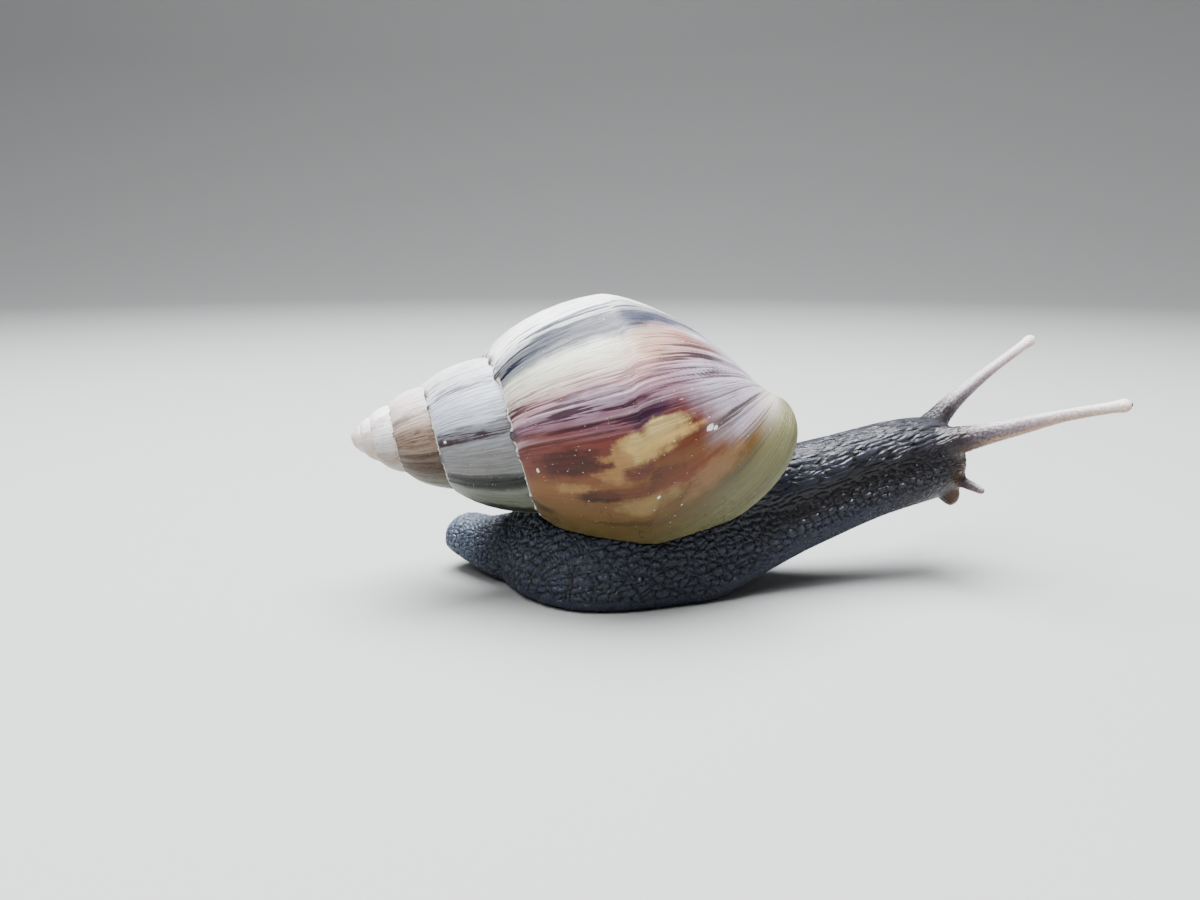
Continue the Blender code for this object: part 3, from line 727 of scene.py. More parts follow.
class SkinMap:
    """Where each point of the skin lies on the body: its station, how far along it is
    and how far round from the middle of the back, in metres, how high round its
    section (1 on the back, -1 on the sole) and how far above the widest line."""

    def __init__(self, body, points):
        station, angle, net = body.sheet()
        rings, sides = net.shape[:2]
        middle = net.mean(axis=1)
        travelled = distances(middle)
        around_step = np.linalg.norm(np.roll(net, -1, axis=1) - net, axis=2)
        one_way = np.cumsum(around_step, axis=1) - around_step
        total = around_step.sum(axis=1, keepdims=True)
        around = np.where(one_way <= total / 2.0, one_way, one_way - total)

        place = nearest_places(points, net.reshape(-1, 3))
        ring, side = place // sides, place % sides
        offset = points - net.reshape(-1, 3)[place]
        ahead = unit(net[np.minimum(ring + 1, rings - 1), side] - net[np.maximum(ring - 1, 0), side])
        turned = unit(net[ring, (side + 1) % sides] - net[ring, (side - 1) % sides])
        self.along = travelled[ring] + dot(offset, ahead)
        self.around = around[ring, side] + dot(offset, turned)
        self.station = np.interp(self.along, travelled, station[:, 0])
        self.height = np.sin(angle[ring, side])
        here, left, up = body.frame(self.station)
        self.lift = dot(points - here, up)
        self.turn = np.arctan2(dot(points - here, left), self.lift)

    def scaled_along(self, scales):
        """Distance along the body in cells whose length changes from station to station."""
        size = monotone_curve(*zip(*scales))
        fine = np.linspace(self.along.min(), self.along.max(), 600)
        order = np.argsort(self.along)
        station = np.interp(fine, self.along[order], self.station[order])
        counted = np.append(0.0, np.cumsum(np.diff(fine) / (size(station[1:]) * MM)))
        return np.interp(self.along, fine, counted)

    def scaled_around(self, scales):
        """Distance round the body from the back, in cells whose width changes too."""
        size = monotone_curve(*zip(*scales))
        return np.abs(self.around) / (size(self.station) * MM)


class FeelerMap:
    """How far along a feeler each point lies, how near it, and the way round it."""

    def __init__(self, points, spec, reach=1.5):
        net, share, middle = tube(*spec)
        radius = np.linalg.norm(net - middle[:, None], axis=2).max(axis=1)
        place = nearest_places(points, middle)
        offset = points - middle[place]
        apart = np.linalg.norm(offset, axis=1)
        self.near = smooth((radius[place] * reach + 0.15 * MM - apart) / (0.5 * radius[place] + 0.1 * MM))
        ahead = unit(np.gradient(middle, axis=0)[place])
        step = np.linalg.norm(middle[1] - middle[0])
        self.along = place * step + dot(offset, ahead)
        self.share = np.clip(self.along / (step * (len(share) - 1)), 0.0, 1.0)
        side = unit(np.cross(ahead, (0.0, 0.0, 1.0)))
        up = np.cross(side, ahead)
        self.upward = dot(offset, up) / (apart + 1e-9)
        self.angle = np.arctan2(dot(offset, side), dot(offset, up))


def mesh_edges(mesh):
    edges = np.empty(len(mesh.edges) * 2, dtype=np.int64)
    mesh.edges.foreach_get("vertices", edges)
    return edges.reshape(-1, 2)


def soften(points, edges, weight, passes):
    """Points drawn towards their neighbours' middle, as far as their weights say."""
    active = np.maximum(weight[edges[:, 0]], weight[edges[:, 1]]) > 0.01
    a, b = edges[active].T
    count = np.bincount(a, minlength=len(points)) + np.bincount(b, minlength=len(points))
    count = np.maximum(count, 1)
    moving = (weight > 0.01)[:, None] * 0.6 * weight[:, None]
    for _ in range(passes):
        total = np.stack([
            np.bincount(a, points[b, axis], len(points)) + np.bincount(b, points[a, axis], len(points))
            for axis in range(3)
        ], axis=1)
        points = points + moving * (total / count[:, None] - points)
    return points


def bump_tops(pattern, border_width, roundness):
    """Rounded tops from 0 in the grooves to 1, from a pattern of cells."""
    border, middle, own = pattern
    dome = np.clip(1.0 - (middle / 0.75) ** 2, 0.0, 1.0)
    top = smooth(border / border_width) * (1.0 - roundness + roundness * dome)
    return top * (0.7 + 0.3 * own)


def foot_pebbles(places):
    """The polygons of the foot and tail, smaller towards the tail's tip."""
    side = np.where(places.around > 0.0, 40.0, 0.0)
    along = places.scaled_along(((0.0, 0.8), (2.0, 0.9), (3.5, 1.4), (5.5, 1.6), (8.0, 1.5), (12.0, 1.0)))
    around = places.scaled_around(((0.0, 0.6), (2.0, 0.7), (3.5, 1.05), (5.5, 1.1), (8.0, 0.85), (12.0, 0.7)))
    along = along + 0.35 * noise(along * 0.8, around * 0.8, 11)
    around = around + 0.35 * noise(along * 0.8, around * 0.8, 12)
    pebble = bump_tops(cells(along + side, around, 20), 0.26, 0.6)
    uneven = 0.5 + 0.5 * noise(along * 2.2, around * 2.2, 24)
    return pebble * (0.80 + 0.20 * uneven)


def neck_ridges(places):
    """The long narrow ridges of the neck, shorter and slanting down on the head."""
    head = smooth((places.station - 8.8) / 1.2)
    down = np.abs(places.turn) / math.pi
    along = places.along / (5.0 * MM)
    around = down * 37.0 - head * 3.2 * along * smooth((down - 0.25) / 0.2)
    along = along + 0.25 * noise(along * 1.3, around * 0.3, 13)
    around = around + 0.7 * noise(along * 0.9, around * 0.12, 14)
    side = np.where(places.turn > 0.0, 60.0, 0.0)
    return bump_tops(cells(along + side, around, 30, 0.8), 0.34, 0.55)


def body_relief(places):
    """Height of the body's own skin, from 0 in the grooves to 1 on the tubercles, how
    deep those grooves are, in metres, and where the long ridges are."""
    upper = smooth((places.height - 0.34) / 0.20)
    on_neck = smooth((places.station - 5.6) / 1.0)
    ridged = on_neck * np.maximum(upper, smooth((places.station - 9.2) / 0.8))
    height = foot_pebbles(places) * (1.0 - ridged) + neck_ridges(places) * ridged
    depth = (0.50 - 0.38 * ridged) * MM
    depth = depth * (0.42 + 0.58 * smooth((places.station - 1.2) / 2.0))

    band = on_neck * bell(places.height - 0.30, 0.12) * smooth((9.6 - places.station) / 0.8)
    depth = depth * (1.0 - 0.55 * band)
    margin = 1.0 - smooth((places.lift / MM + 0.2) / 0.9)
    margin = margin * (1.0 - smooth((places.station - 8.5) / 1.5))
    folds = 0.5 + 0.5 * noise(places.along / (0.8 * MM), places.lift / (3.0 * MM), 15)
    height = height * (1.0 - 0.8 * margin) + folds * 0.8 * margin
    depth = depth * (1.0 - 0.55 * margin)
    sole = smooth((-places.lift / MM - 0.6) / 0.5)
    midline = smooth(np.abs(places.around) / (0.45 * MM))
    midline = np.maximum(midline, smooth((3.0 - places.station) / 0.8))
    midline = np.maximum(midline, smooth((places.station - 9.5) / 0.8))
    return height * (0.35 + 0.65 * midline), depth * (1.0 - sole), ridged


def feeler_relief(feeler, strength):
    """Height and depth of the wrinkles of a feeler, long at its base and short beyond."""
    around = feeler.angle / math.tau * 16.0
    along = feeler.along / ((1.6 - 0.9 * smooth(feeler.share / 0.4)) * MM)
    along = along + 0.3 * noise(along, around, 16)
    ridge = bump_tops(cells(along, np.mod(around, 16.0), 40), 0.35, 0.5)
    fade = 1.0 - smooth((feeler.share - 0.10) / 0.35)
    return ridge, strength * (0.035 + 0.14 * fade) * MM


def shape_skin(skin, body):
    """Soft joins, wrinkles and tubercles, and the named numbers that colour the skin."""
    mesh = skin.data
    points = vertex_array(mesh)
    joint = np.zeros(len(points))
    for group, radius in ((UPPER_TENTACLES, 3.0), (LOWER_TENTACLES, 1.8), (MOUTH_LOBES, 2.2)):
        for path, _ in group.values():
            centre = (np.array(path[0]) * 0.5 + np.array(path[1]) * 0.5) * MM
            reach = np.linalg.norm(points - centre, axis=1) / (radius * MM)
            joint = np.maximum(joint, np.exp(-reach ** 4))
    points = soften(points, mesh_edges(mesh), joint, 40)
    mesh.vertices.foreach_set("co", points.ravel())
    mesh.update()
    normals = vertex_array(mesh, "normal")

    places = SkinMap(body, points)
    height, depth, ridged = body_relief(places)
    feeler_amount, feeler_place, feeler_under = [np.zeros(len(points)) for _ in range(3)]
    for group, strength in ((UPPER_TENTACLES, 1.0), (LOWER_TENTACLES, 0.5)):
        for spec in group.values():
            feeler = FeelerMap(points, spec)
            near = feeler.near * smooth((feeler.share - 0.02) / 0.16)
            own_height, own_depth = feeler_relief(feeler, strength)
            height = height * (1.0 - near) + own_height * near
            depth = depth * (1.0 - near) + own_depth * near
            feeler_amount = np.maximum(feeler_amount, near)
            feeler_place = np.where(near > 0.02, feeler.share * strength ** 1.4, feeler_place)
            feeler_under = np.where(near > 0.02, -feeler.upward, feeler_under)

    waist = bell(places.height - 0.36, 0.15) * smooth((places.station - 5.4) / 1.2)
    waist = waist * smooth((9.6 - places.station) / 1.5)
    edge_wave = 0.3 * MM * noise(places.along / (3.4 * MM), places.around * 0.0, 17)
    edge = bell(places.lift / MM - 0.3, 1.0) * smooth((9.5 - places.station) / 1.0)
    outward = (height - 0.5) * depth - 0.6 * MM * waist * (1.0 - feeler_amount) + edge_wave * edge
    flat = smooth((-normals[:, 2] - 0.75) / 0.2) * smooth((0.5 * MM - points[:, 2]) / (0.3 * MM))
    outward = outward * (1.0 - flat)
    points = points + normals * outward[:, None]
    points[:, 2] = np.maximum(points[:, 2], 0.0)
    mesh.vertices.foreach_set("co", points.ravel())
    for key, values in (
        ("relief", height), ("station", places.station / body.last), ("height", places.height),
        ("lift", places.lift / MM), ("ridged", ridged), ("feeler", feeler_amount),
        ("feeler_place", feeler_place), ("feeler_under", feeler_under),
        ("along", places.along / MM), ("turn", places.turn),
    ):
        layer = mesh.attributes.new(key, "FLOAT", "POINT")
        layer.data.foreach_set("value", values.astype(np.float32))
    mesh.shade_smooth()
    mesh.update()


def build_eye(side):
    """A small eye in the tip of a long feeler, all but covered by the skin."""
    path = np.array(UPPER_TENTACLES[side][0]) * MM
    forward = (path[-1] - path[-2]) / np.linalg.norm(path[-1] - path[-2])
    bpy.ops.mesh.primitive_uv_sphere_add(
        radius=EYE_RADIUS, segments=32, ring_count=16, location=path[-1] - forward * EYE_SUNK
    )
    eye = bpy.context.object
    eye.name = f"eye_of_{side}_feeler"
    eye.data.shade_smooth()
    return eye


# ---- materials -------------------------------------------------------------
class Value:
    """A number that varies over a surface: sums and products of it are nodes too."""

    def __init__(self, graph, socket):
        self.graph = graph
        self.socket = socket

    def __add__(self, other):
        return self.graph.math("ADD", self, other)

    def __sub__(self, other):
        return self.graph.math("SUBTRACT", self, other)

    def __rsub__(self, other):
        return self.graph.math("SUBTRACT", other, self)

    def __mul__(self, other):
        return self.graph.math("MULTIPLY", self, other)

    def __truediv__(self, other):
        return self.graph.math("DIVIDE", self, other)

    def span(self, low, high, to_low=0.0, to_high=1.0):
        """A soft step between two values of this number."""
        made = self.graph.node("ShaderNodeMapRange", interpolation_type="SMOOTHSTEP")
        return self.graph.fill(made, (self, low, high, to_low, to_high))


class Graph:
    """A material's node tree, with short names for the nodes it is built from."""

    def __init__(self, name):
        self.material = bpy.data.materials.new(name)
        self.material.use_nodes = True
        self.tree = self.material.node_tree
        self.shader = self.tree.nodes["Principled BSDF"]

    def feed(self, socket, value):
        if isinstance(value, Value):
            self.tree.links.new(value.socket, socket)
        elif isinstance(value, tuple) and len(value) == 3 and len(socket.default_value) == 4:
            socket.default_value = (*value, 1.0)
        else:
            socket.default_value = value

    def node(self, kind, **settings):
        made = self.tree.nodes.new(kind)
        for key, value in settings.items():
            setattr(made, key, value)
        return made

    def number(self, name):
        return Value(self, self.node("ShaderNodeAttribute", attribute_name=name).outputs["Fac"])

    def fill(self, made, values, result=0):
        """One of a node's results, with its sockets fed by name or in order."""
        named = values.items() if isinstance(values, dict) else enumerate(values)
        for socket, value in named:
            self.feed(made.inputs[socket], value)
        return Value(self, made.outputs[result])

    def math(self, operation, *values):
        return self.fill(self.node("ShaderNodeMath", operation=operation), values)

    def vector(self, x, y, z=0.0):
        return self.fill(self.node("ShaderNodeCombineXYZ"), (x, y, z))

    def noise(self, vector, scale=1.0, detail=2.0, roughness=0.5):
        sockets = {"Vector": vector, "Scale": scale, "Detail": detail, "Roughness": roughness}
        return self.fill(self.node("ShaderNodeTexNoise"), sockets, "Fac")

    def cells(self, vector, scale=1.0):
        """Distance to the borders of an irregular pattern of cells."""
        made = self.node("ShaderNodeTexVoronoi", feature="DISTANCE_TO_EDGE")
        return self.fill(made, {"Vector": vector, "Scale": scale}, "Distance")

    def ramp(self, value, stops):
        made = self.node("ShaderNodeValToRGB")
        made.color_ramp.interpolation = "EASE"
        elements = made.color_ramp.elements
        while len(elements) < len(stops):
            elements.new(1.0)
        for element, (position, colour) in zip(elements, stops):
            element.position = position
            element.color = (*colour, 1.0)
        return self.fill(made, {"Fac": value}, "Color")

    def mix(self, share, low, high, blend="MIX"):
        made = self.node("ShaderNodeMix", data_type="RGBA", blend_type=blend)
        return self.fill(made, {"Factor": share, 6: low, 7: high}, 2)

    def bump(self, height, distance, strength):
        sockets = {"Strength": strength, "Distance": distance, "Height": height}
        self.surface(Normal=self.fill(self.node("ShaderNodeBump"), sockets, "Normal"))

    def surface(self, **sockets):
        """Feed the shader's own sockets, whose names are written with underscores."""
        for name, value in sockets.items():
            self.feed(self.shader.inputs[name.replace("_", " ")], value)

    def place(self):
        """The object's own coordinates, in metres."""
        return Value(self, self.node("ShaderNodeTexCoord").outputs["Object"])


# growth-line ages of the body whorl and its ground colours, older to newer
BODY_GROUND = (
    (-0.70, (0.42, 0.29, 0.17)),
    (-0.58, (0.60, 0.48, 0.33)),
    (-0.52, (0.78, 0.74, 0.66)),
    (-0.47, (0.86, 0.87, 0.83)),
    (-0.42, (0.66, 0.67, 0.66)),
    (-0.385, (0.50, 0.52, 0.50)),
    (-0.365, (0.60, 0.61, 0.50)),
    (-0.338, (0.56, 0.48, 0.41)),
    (-0.318, (0.42, 0.26, 0.28)),
    (-0.300, (0.27, 0.16, 0.21)),
    (-0.275, (0.15, 0.060, 0.072)),
    (-0.250, (0.125, 0.030, 0.022)),
    (-0.225, (0.130, 0.036, 0.016)),
    (-0.200, (0.17, 0.075, 0.024)),
    (-0.165, (0.13, 0.068, 0.022)),
    (-0.120, (0.095, 0.064, 0.022)),
    (-0.070, (0.145, 0.130, 0.062)),
    (-0.030, (0.160, 0.158, 0.088)),
    (-0.006, (0.42, 0.42, 0.30)),
)
# growth-line ages of the spire and its ground colours, older to newer; some entries are darkened partly as
# painted shade
SPIRE_GROUND_AND_SHADE = (
    (-6.0, (0.80, 0.68, 0.60)),
    (-4.4, (0.88, 0.83, 0.80)),
    (-4.1, (0.52, 0.42, 0.34)),
    (-3.4, (0.90, 0.88, 0.90)),
    (-3.1, (0.38, 0.32, 0.26)),
    (-2.6, (0.82, 0.80, 0.77)),
    (-2.42, (0.60, 0.55, 0.52)),
    (-2.27, (0.28, 0.20, 0.15)),
    (-2.16, (0.11, 0.085, 0.060)),
    # this olive is darkened partly as painted shade on the spire's underside
    (-2.04, (0.11, 0.12, 0.075)),
    (-1.75, (0.55, 0.52, 0.48)),
    (-1.50, (0.66, 0.66, 0.65)),
    (-1.34, (0.44, 0.48, 0.55)),
    # these two are darkened partly as painted shade on the whorl's lower side
    (-1.22, (0.20, 0.205, 0.20)),
    (-1.10, (0.13, 0.145, 0.105)),
    (-0.90, (0.40, 0.33, 0.25)),
    (-0.75, (0.44, 0.32, 0.20)),
)
# markings along the growth lines: age and place across their middle, half their
# width in turns, half their reach across the whorl, colour, strength, and how far
# they are broken up into the grooves between the growth ridges
MARKINGS = (
    # the spire
    (-4.30, 0.50, 0.020, 0.60, (0.26, 0.13, 0.08), 0.45, 0.3),
    (-3.36, 0.50, 0.030, 0.80, (0.33, 0.18, 0.11), 0.55, 0.5),
    (-3.17, 0.60, 0.030, 0.70, (0.20, 0.10, 0.06), 0.60, 0.5),
    (-2.42, 0.50, 0.040, 0.80, (0.46, 0.36, 0.36), 0.45, 0.8),
    (-2.34, 0.30, 0.014, 0.40, (0.20, 0.12, 0.10), 0.70, 0.3),
    (-2.27, 0.45, 0.030, 0.80, (0.10, 0.055, 0.038), 0.85, 0.6),
    (-2.21, 0.55, 0.010, 0.70, (0.055, 0.028, 0.018), 0.90, 0.2),
    (-2.17, 0.60, 0.022, 0.70, (0.050, 0.026, 0.016), 0.90, 0.3),
    (-2.05, 0.50, 0.030, 0.70, (0.10, 0.075, 0.05), 0.70, 0.4),
    (-1.80, 0.55, 0.030, 0.60, (0.13, 0.08, 0.07), 0.70, 0.6),
    (-1.60, 0.50, 0.025, 0.60, (0.10, 0.07, 0.07), 0.70, 0.6),
    (-1.425, 0.35, 0.022, 0.50, (0.30, 0.26, 0.31), 0.65, 0.9),
    (-1.385, 0.65, 0.015, 0.45, (0.085, 0.075, 0.12), 0.85, 0.7),
    (-1.275, 0.50, 0.018, 0.70, (0.030, 0.014, 0.022), 0.97, 0.4),
    (-1.268, 0.30, 0.008, 0.22, (0.030, 0.010, 0.014), 0.95, 0.1),
    (-1.225, 0.50, 0.016, 0.50, (0.20, 0.19, 0.19), 0.40, 0.5),
    (-1.167, 0.50, 0.019, 0.85, (0.006, 0.006, 0.005), 0.99, 0.12),
    (-1.07, 0.50, 0.022, 0.80, (0.008, 0.008, 0.007), 0.97, 0.05),
    (-0.97, 0.50, 0.016, 0.80, (0.05, 0.035, 0.03), 0.80, 0.5),
    (-0.89, 1.10, 0.018, 0.60, (0.07, 0.028, 0.018), 0.90, 0.3),
    (-0.84, 0.60, 0.022, 0.90, (0.04, 0.025, 0.03), 0.85, 0.6),
    (-0.79, 1.20, 0.020, 0.60, (0.09, 0.035, 0.020), 0.88, 0.2),
    (-0.75, 0.50, 0.012, 0.60, (0.12, 0.06, 0.04), 0.80, 0.5),
    (-0.715, 0.80, 0.018, 0.80, (0.06, 0.025, 0.020), 0.90, 0.3),
    (-0.665, 0.40, 0.012, 0.50, (0.14, 0.055, 0.035), 0.85, 0.4),
    (-0.645, 1.20, 0.018, 0.50, (0.10, 0.040, 0.028), 0.88, 0.3),
    (-0.600, 0.60, 0.020, 0.90, (0.06, 0.028, 0.026), 0.90, 0.5),
    (-0.555, 1.10, 0.014, 0.60, (0.13, 0.08, 0.07), 0.80, 0.8),
    (-0.520, 0.50, 0.012, 0.80, (0.16, 0.13, 0.13), 0.75, 0.9),
    # body whorl: the blue-black streak of fine lines
    (-0.434, 0.50, 0.022, 0.60, (0.10, 0.11, 0.16), 0.85, 1.0),
    (-0.413, 0.60, 0.022, 0.95, (0.014, 0.018, 0.038), 0.98, 0.50),
    (-0.396, 0.50, 0.021, 1.00, (0.010, 0.012, 0.026), 0.99, 0.22),
    (-0.402, 0.80, 0.014, 0.32, (0.014, 0.017, 0.034), 0.97, 0.30),
    (-0.390, 1.04, 0.024, 0.20, (0.016, 0.019, 0.040), 0.98, 0.25),
    (-0.405, 1.30, 0.016, 0.22, (0.08, 0.09, 0.13), 0.80, 0.9),
    # rose, lavender and purple
    (-0.328, 0.10, 0.018, 0.25, (0.055, 0.030, 0.022), 0.90, 0.7),
    (-0.318, 0.45, 0.016, 0.22, (0.16, 0.085, 0.080), 0.70, 0.8),
    (-0.304, 0.70, 0.014, 0.26, (0.30, 0.24, 0.31), 0.60, 0.1),
    (-0.296, 0.66, 0.012, 0.34, (0.10, 0.055, 0.080), 0.90, 0.9),
    (-0.280, 0.80, 0.015, 0.34, (0.065, 0.026, 0.045), 0.94, 0.75),
    (-0.274, 1.06, 0.013, 0.14, (0.050, 0.020, 0.045), 0.94, 0.15),
    # maroon, with amber windows
    (-0.262, 0.40, 0.018, 0.26, (0.13, 0.035, 0.026), 0.85, 0.3),
    (-0.236, 0.50, 0.017, 0.22, (0.046, 0.011, 0.008), 0.92, 0.1),
    (-0.228, 0.62, 0.010, 0.06, (0.045, 0.016, 0.008), 0.85, 0.1),
    (-0.240, 1.04, 0.018, 0.24, (0.48, 0.33, 0.115), 0.92, 0.0),
    (-0.252, 1.12, 0.010, 0.16, (0.46, 0.36, 0.15), 0.75, 0.0),
    (-0.226, 0.80, 0.018, 0.08, (0.32, 0.18, 0.065), 0.88, 0.0),
    (-0.214, 0.72, 0.008, 0.05, (0.28, 0.15, 0.055), 0.80, 0.0),
    (-0.213, 0.94, 0.011, 0.12, (0.085, 0.022, 0.018), 0.85, 0.3),
    (-0.200, 0.50, 0.009, 0.09, (0.30, 0.18, 0.070), 0.70, 0.05),
    (-0.188, 0.68, 0.009, 0.11, (0.028, 0.010, 0.004), 0.95, 0.1),
    (-0.190, 0.85, 0.009, 0.20, (0.095, 0.028, 0.014), 0.90, 0.2),
    (-0.192, 1.12, 0.014, 0.14, (0.090, 0.026, 0.016), 0.85, 0.1),
    (-0.182, 1.30, 0.020, 0.16, (0.17, 0.048, 0.020), 0.88, 0.1),
    (-0.168, 0.98, 0.012, 0.24, (0.25, 0.17, 0.065), 0.75, 0.05),
    (-0.142, 0.86, 0.006, 0.22, (0.060, 0.035, 0.012), 0.85, 0.2),
    (-0.132, 1.10, 0.006, 0.14, (0.075, 0.050, 0.020), 0.70, 0.2),
    (-0.150, 0.20, 0.010, 0.14, (0.030, 0.018, 0.008), 0.85, 0.4),
    (-0.160, 1.40, 0.020, 0.16, (0.26, 0.15, 0.065), 0.70, 0.1),
    # lines on the base
    (-0.350, 1.26, 0.030, 0.20, (0.30, 0.125, 0.070), 0.85, 0.3),
    (-0.325, 1.34, 0.028, 0.16, (0.060, 0.042, 0.060), 0.92, 0.9),
    (-0.300, 1.18, 0.020, 0.14, (0.20, 0.12, 0.17), 0.80, 0.5),
    (-0.270, 1.50, 0.030, 0.10, (0.16, 0.14, 0.16), 0.70, 1.0),
    (-0.222, 1.55, 0.014, 0.16, (0.070, 0.055, 0.050), 0.90, 1.0),
    (-0.175, 1.62, 0.012, 0.14, (0.085, 0.075, 0.055), 0.85, 1.0),
    (-0.130, 1.60, 0.010, 0.16, (0.090, 0.085, 0.050), 0.80, 1.0),
    (-0.100, 1.05, 0.024, 0.30, (0.12, 0.10, 0.04), 0.45, 0.2),
)
SMOOTH_MARKING = 0.1                # markings broken up less than this have mottled edges
SHELL_SPECULAR = 0.2
SHELL_BUMP = 0.00016                # metres its finest relief stands out
SKIN_SPECULAR = 0.3
SKIN_BUMP = 0.00012
SKIN_LIGHT_REACH = (0.0012, 0.0007, 0.0005)
BUMP_STRENGTH = 0.9
# pale chips: age and place across, half width, half reach
CHIPS = (
    (-0.2265, 0.295, 0.0042, 0.013),
    (-0.2245, 1.375, 0.0050, 0.020),
    (-0.2200, 1.400, 0.0030, 0.012),
    (-0.1720, 1.085, 0.0022, 0.014),
    (-1.2710, 0.270, 0.0040, 0.030),
)


def shell_material():
    graph = Graph("giant snail shell")
    mark, across, ridge, fold = map(graph.number, ("mark", "across", "ridge", "fold"))

    def streaks(per_turn, per_whorl, layer=0.0, **settings):
        """Noise drawn out along the growth lines."""
        place = graph.vector(mark * per_turn, across * per_whorl, layer)
        return graph.noise(place, **settings)

    wander = streaks(26.0, 6.0, detail=5.0, roughness=0.62) - 0.5
    lines = streaks(230.0, 2.4, detail=3.0, roughness=0.65)
    hairs = streaks(620.0, 5.0, detail=2.0)
    moved_mark = wander * mark.span(-0.36, -0.3, 0.012, 0.02) + mark
    smooth_back = mark.span(-0.22, -0.3, 0.0015, 0.009)
    moved_mark = (lines - 0.5) * smooth_back + moved_mark
    side = streaks(45.0, 6.0, 7.0, detail=4.0, roughness=0.6) - 0.5
    moved_across = side * 0.32 + across

    def from_ages(stops, low, high):
        share = (moved_mark - low) / (high - low)
        return graph.ramp(share, [((age - low) / (high - low), colour) for age, colour in stops])

    spire = from_ages(SPIRE_GROUND_AND_SHADE, -6.5, -0.7)
    whorl = from_ages(BODY_GROUND, -0.72, 0.0)
    ground = graph.mix(mark.span(-0.78, -0.66), spire, whorl)

    # a rose-grey veil over the base, between the white back and the olive lip side
    cloudy = streaks(9.0, 4.0, 3.0, detail=4.0, roughness=0.6) * 0.24 - 0.12
    slant = mark * -1.6 + across + cloudy
    veil = slant.span(1.66, 1.86) * mark.span(-0.5, -0.36) * mark.span(-0.155, -0.2)
    ground = graph.mix(veil * 0.88, ground, (0.37, 0.325, 0.4))
    rose = slant.span(1.42, 1.6) * slant.span(1.8, 1.62) * mark.span(-0.4, -0.35) * mark.span(-0.27, -0.32)
    ground = graph.mix(rose * 0.55, ground, (0.46, 0.25, 0.2))
    pale_end = across.span(1.58, 1.8) * mark.span(-0.08, -0.18)
    ground = graph.mix(pale_end * 0.85, ground, (0.44, 0.43, 0.37))
    olive = mark.span(-0.16, -0.09) * across.span(1.15, 1.5)
    ground = graph.mix(olive * 0.75, ground, (0.175, 0.172, 0.085))

    crest = ridge * 0.45 + (lines * -3.2 + 1.6)
    grooves = crest.span(0.06, -0.28)
    mottle = graph.noise(graph.place(), scale=420.0, detail=5.0, roughness=0.6)
    mottle = mottle * 3.0 - 1.5
    colour = ground
    for age, middle, width, reach, tint, strength, lined in MARKINGS:
        d_mark = (moved_mark - age) / width
        d_across = (moved_across - middle) / reach
        apart = d_mark * d_mark + d_across * d_across
        if lined <= SMOOTH_MARKING:
            apart = apart + mottle
        share = apart.span(1.7, 0.25, 0.0, strength)
        kept = grooves * lined + (1.0 - lined)
        colour = graph.mix(share * kept, colour, tint)

    # fine lines everywhere, darker in the grooves, partly as painted shade there; a painted highlight on the
    # ridge crests of the purple band; darker clouds, most on the old whorls
    purple = mark.span(-0.35, -0.31) * mark.span(-0.24, -0.28)
    # painted highlight: the ridge crests of the purple band lightened toward pale pink
    painted_crest_highlight = ridge.span(0.2, 0.9, 0.0, 0.38) * purple * across.span(1.3, 0.9)
    colour = graph.mix(painted_crest_highlight, colour, (0.55, 0.45, 0.47))
    polish = mark.span(-0.27, -0.24) * mark.span(-0.07, -0.12)
    line_depth = purple * 0.45 + (polish * -0.22 + 0.4)
    # darker in the bump's grooves: partly dark growth lines, partly painted shade in the grooves
    groove_lines_and_shade = grooves * line_depth
    colour = graph.mix(groove_lines_and_shade, colour, (0.40, 0.33, 0.33), "MULTIPLY")
    hair_share = hairs.span(0.5, 0.7) * 0.14
    colour = graph.mix(hair_share, colour, (0.62, 0.56, 0.50), "MULTIPLY")
    cloud = graph.noise(graph.place(), scale=150.0, detail=5.0, roughness=0.65)
    shade = graph.ramp(cloud, ((0.30, (0.62, 0.58, 0.54)), (0.65, (1.0, 1.0, 1.0))))
    colour = graph.mix(mark.span(-3.0, -1.5, 0.12, 0.4), colour, shade, "MULTIPLY")

    # the suture's whitish beads with dark notches, and the dark furrow under them
    seam = across.span(0.12, 0.06) * fold.span(-0.3, 0.2, 0.45, 0.95)
    colour = graph.mix(seam, colour, (0.72, 0.69, 0.64))
    notch = across.span(0.2, 0.05) * fold.span(0.0, -0.35) * mark.span(-3.5, -1.2, 0.0, 0.9)
    colour = graph.mix(notch, colour, (0.022, 0.015, 0.014))

    def paint_chip(colour, share):
        return graph.mix(share * 0.85, colour, (0.8, 0.74, 0.68))

    grit = graph.noise(graph.place(), scale=2600.0, detail=3.0)
    chips = streaks(340.0, 34.0, 21.0, detail=3.0).span(0.685, 0.73) * grit.span(0.4, 0.55)
    colour = paint_chip(colour, chips)
    ragged = grit * 1.6 - 0.8
    for age, middle, width, reach in CHIPS:
        d_mark = (mark - age) / width
        d_across = (across - middle) / reach
        apart = d_mark * d_mark + d_across * d_across
        colour = paint_chip(colour, (apart + ragged).span(1.0, 0.6))

    colour = graph.mix(graph.number("inside"), colour, (0.55, 0.56, 0.60))
    rough = chips * 0.3 + (cloud * 0.2 + 0.2)
    graph.surface(Base_Color=colour, Roughness=rough, Specular_IOR_Level=SHELL_SPECULAR)
    height = hairs * 0.3 + lines * -1.0
    height = height * (polish * -0.6 + 1.0)
    graph.bump(chips * -0.4 + height, SHELL_BUMP, BUMP_STRENGTH)
    return graph.material


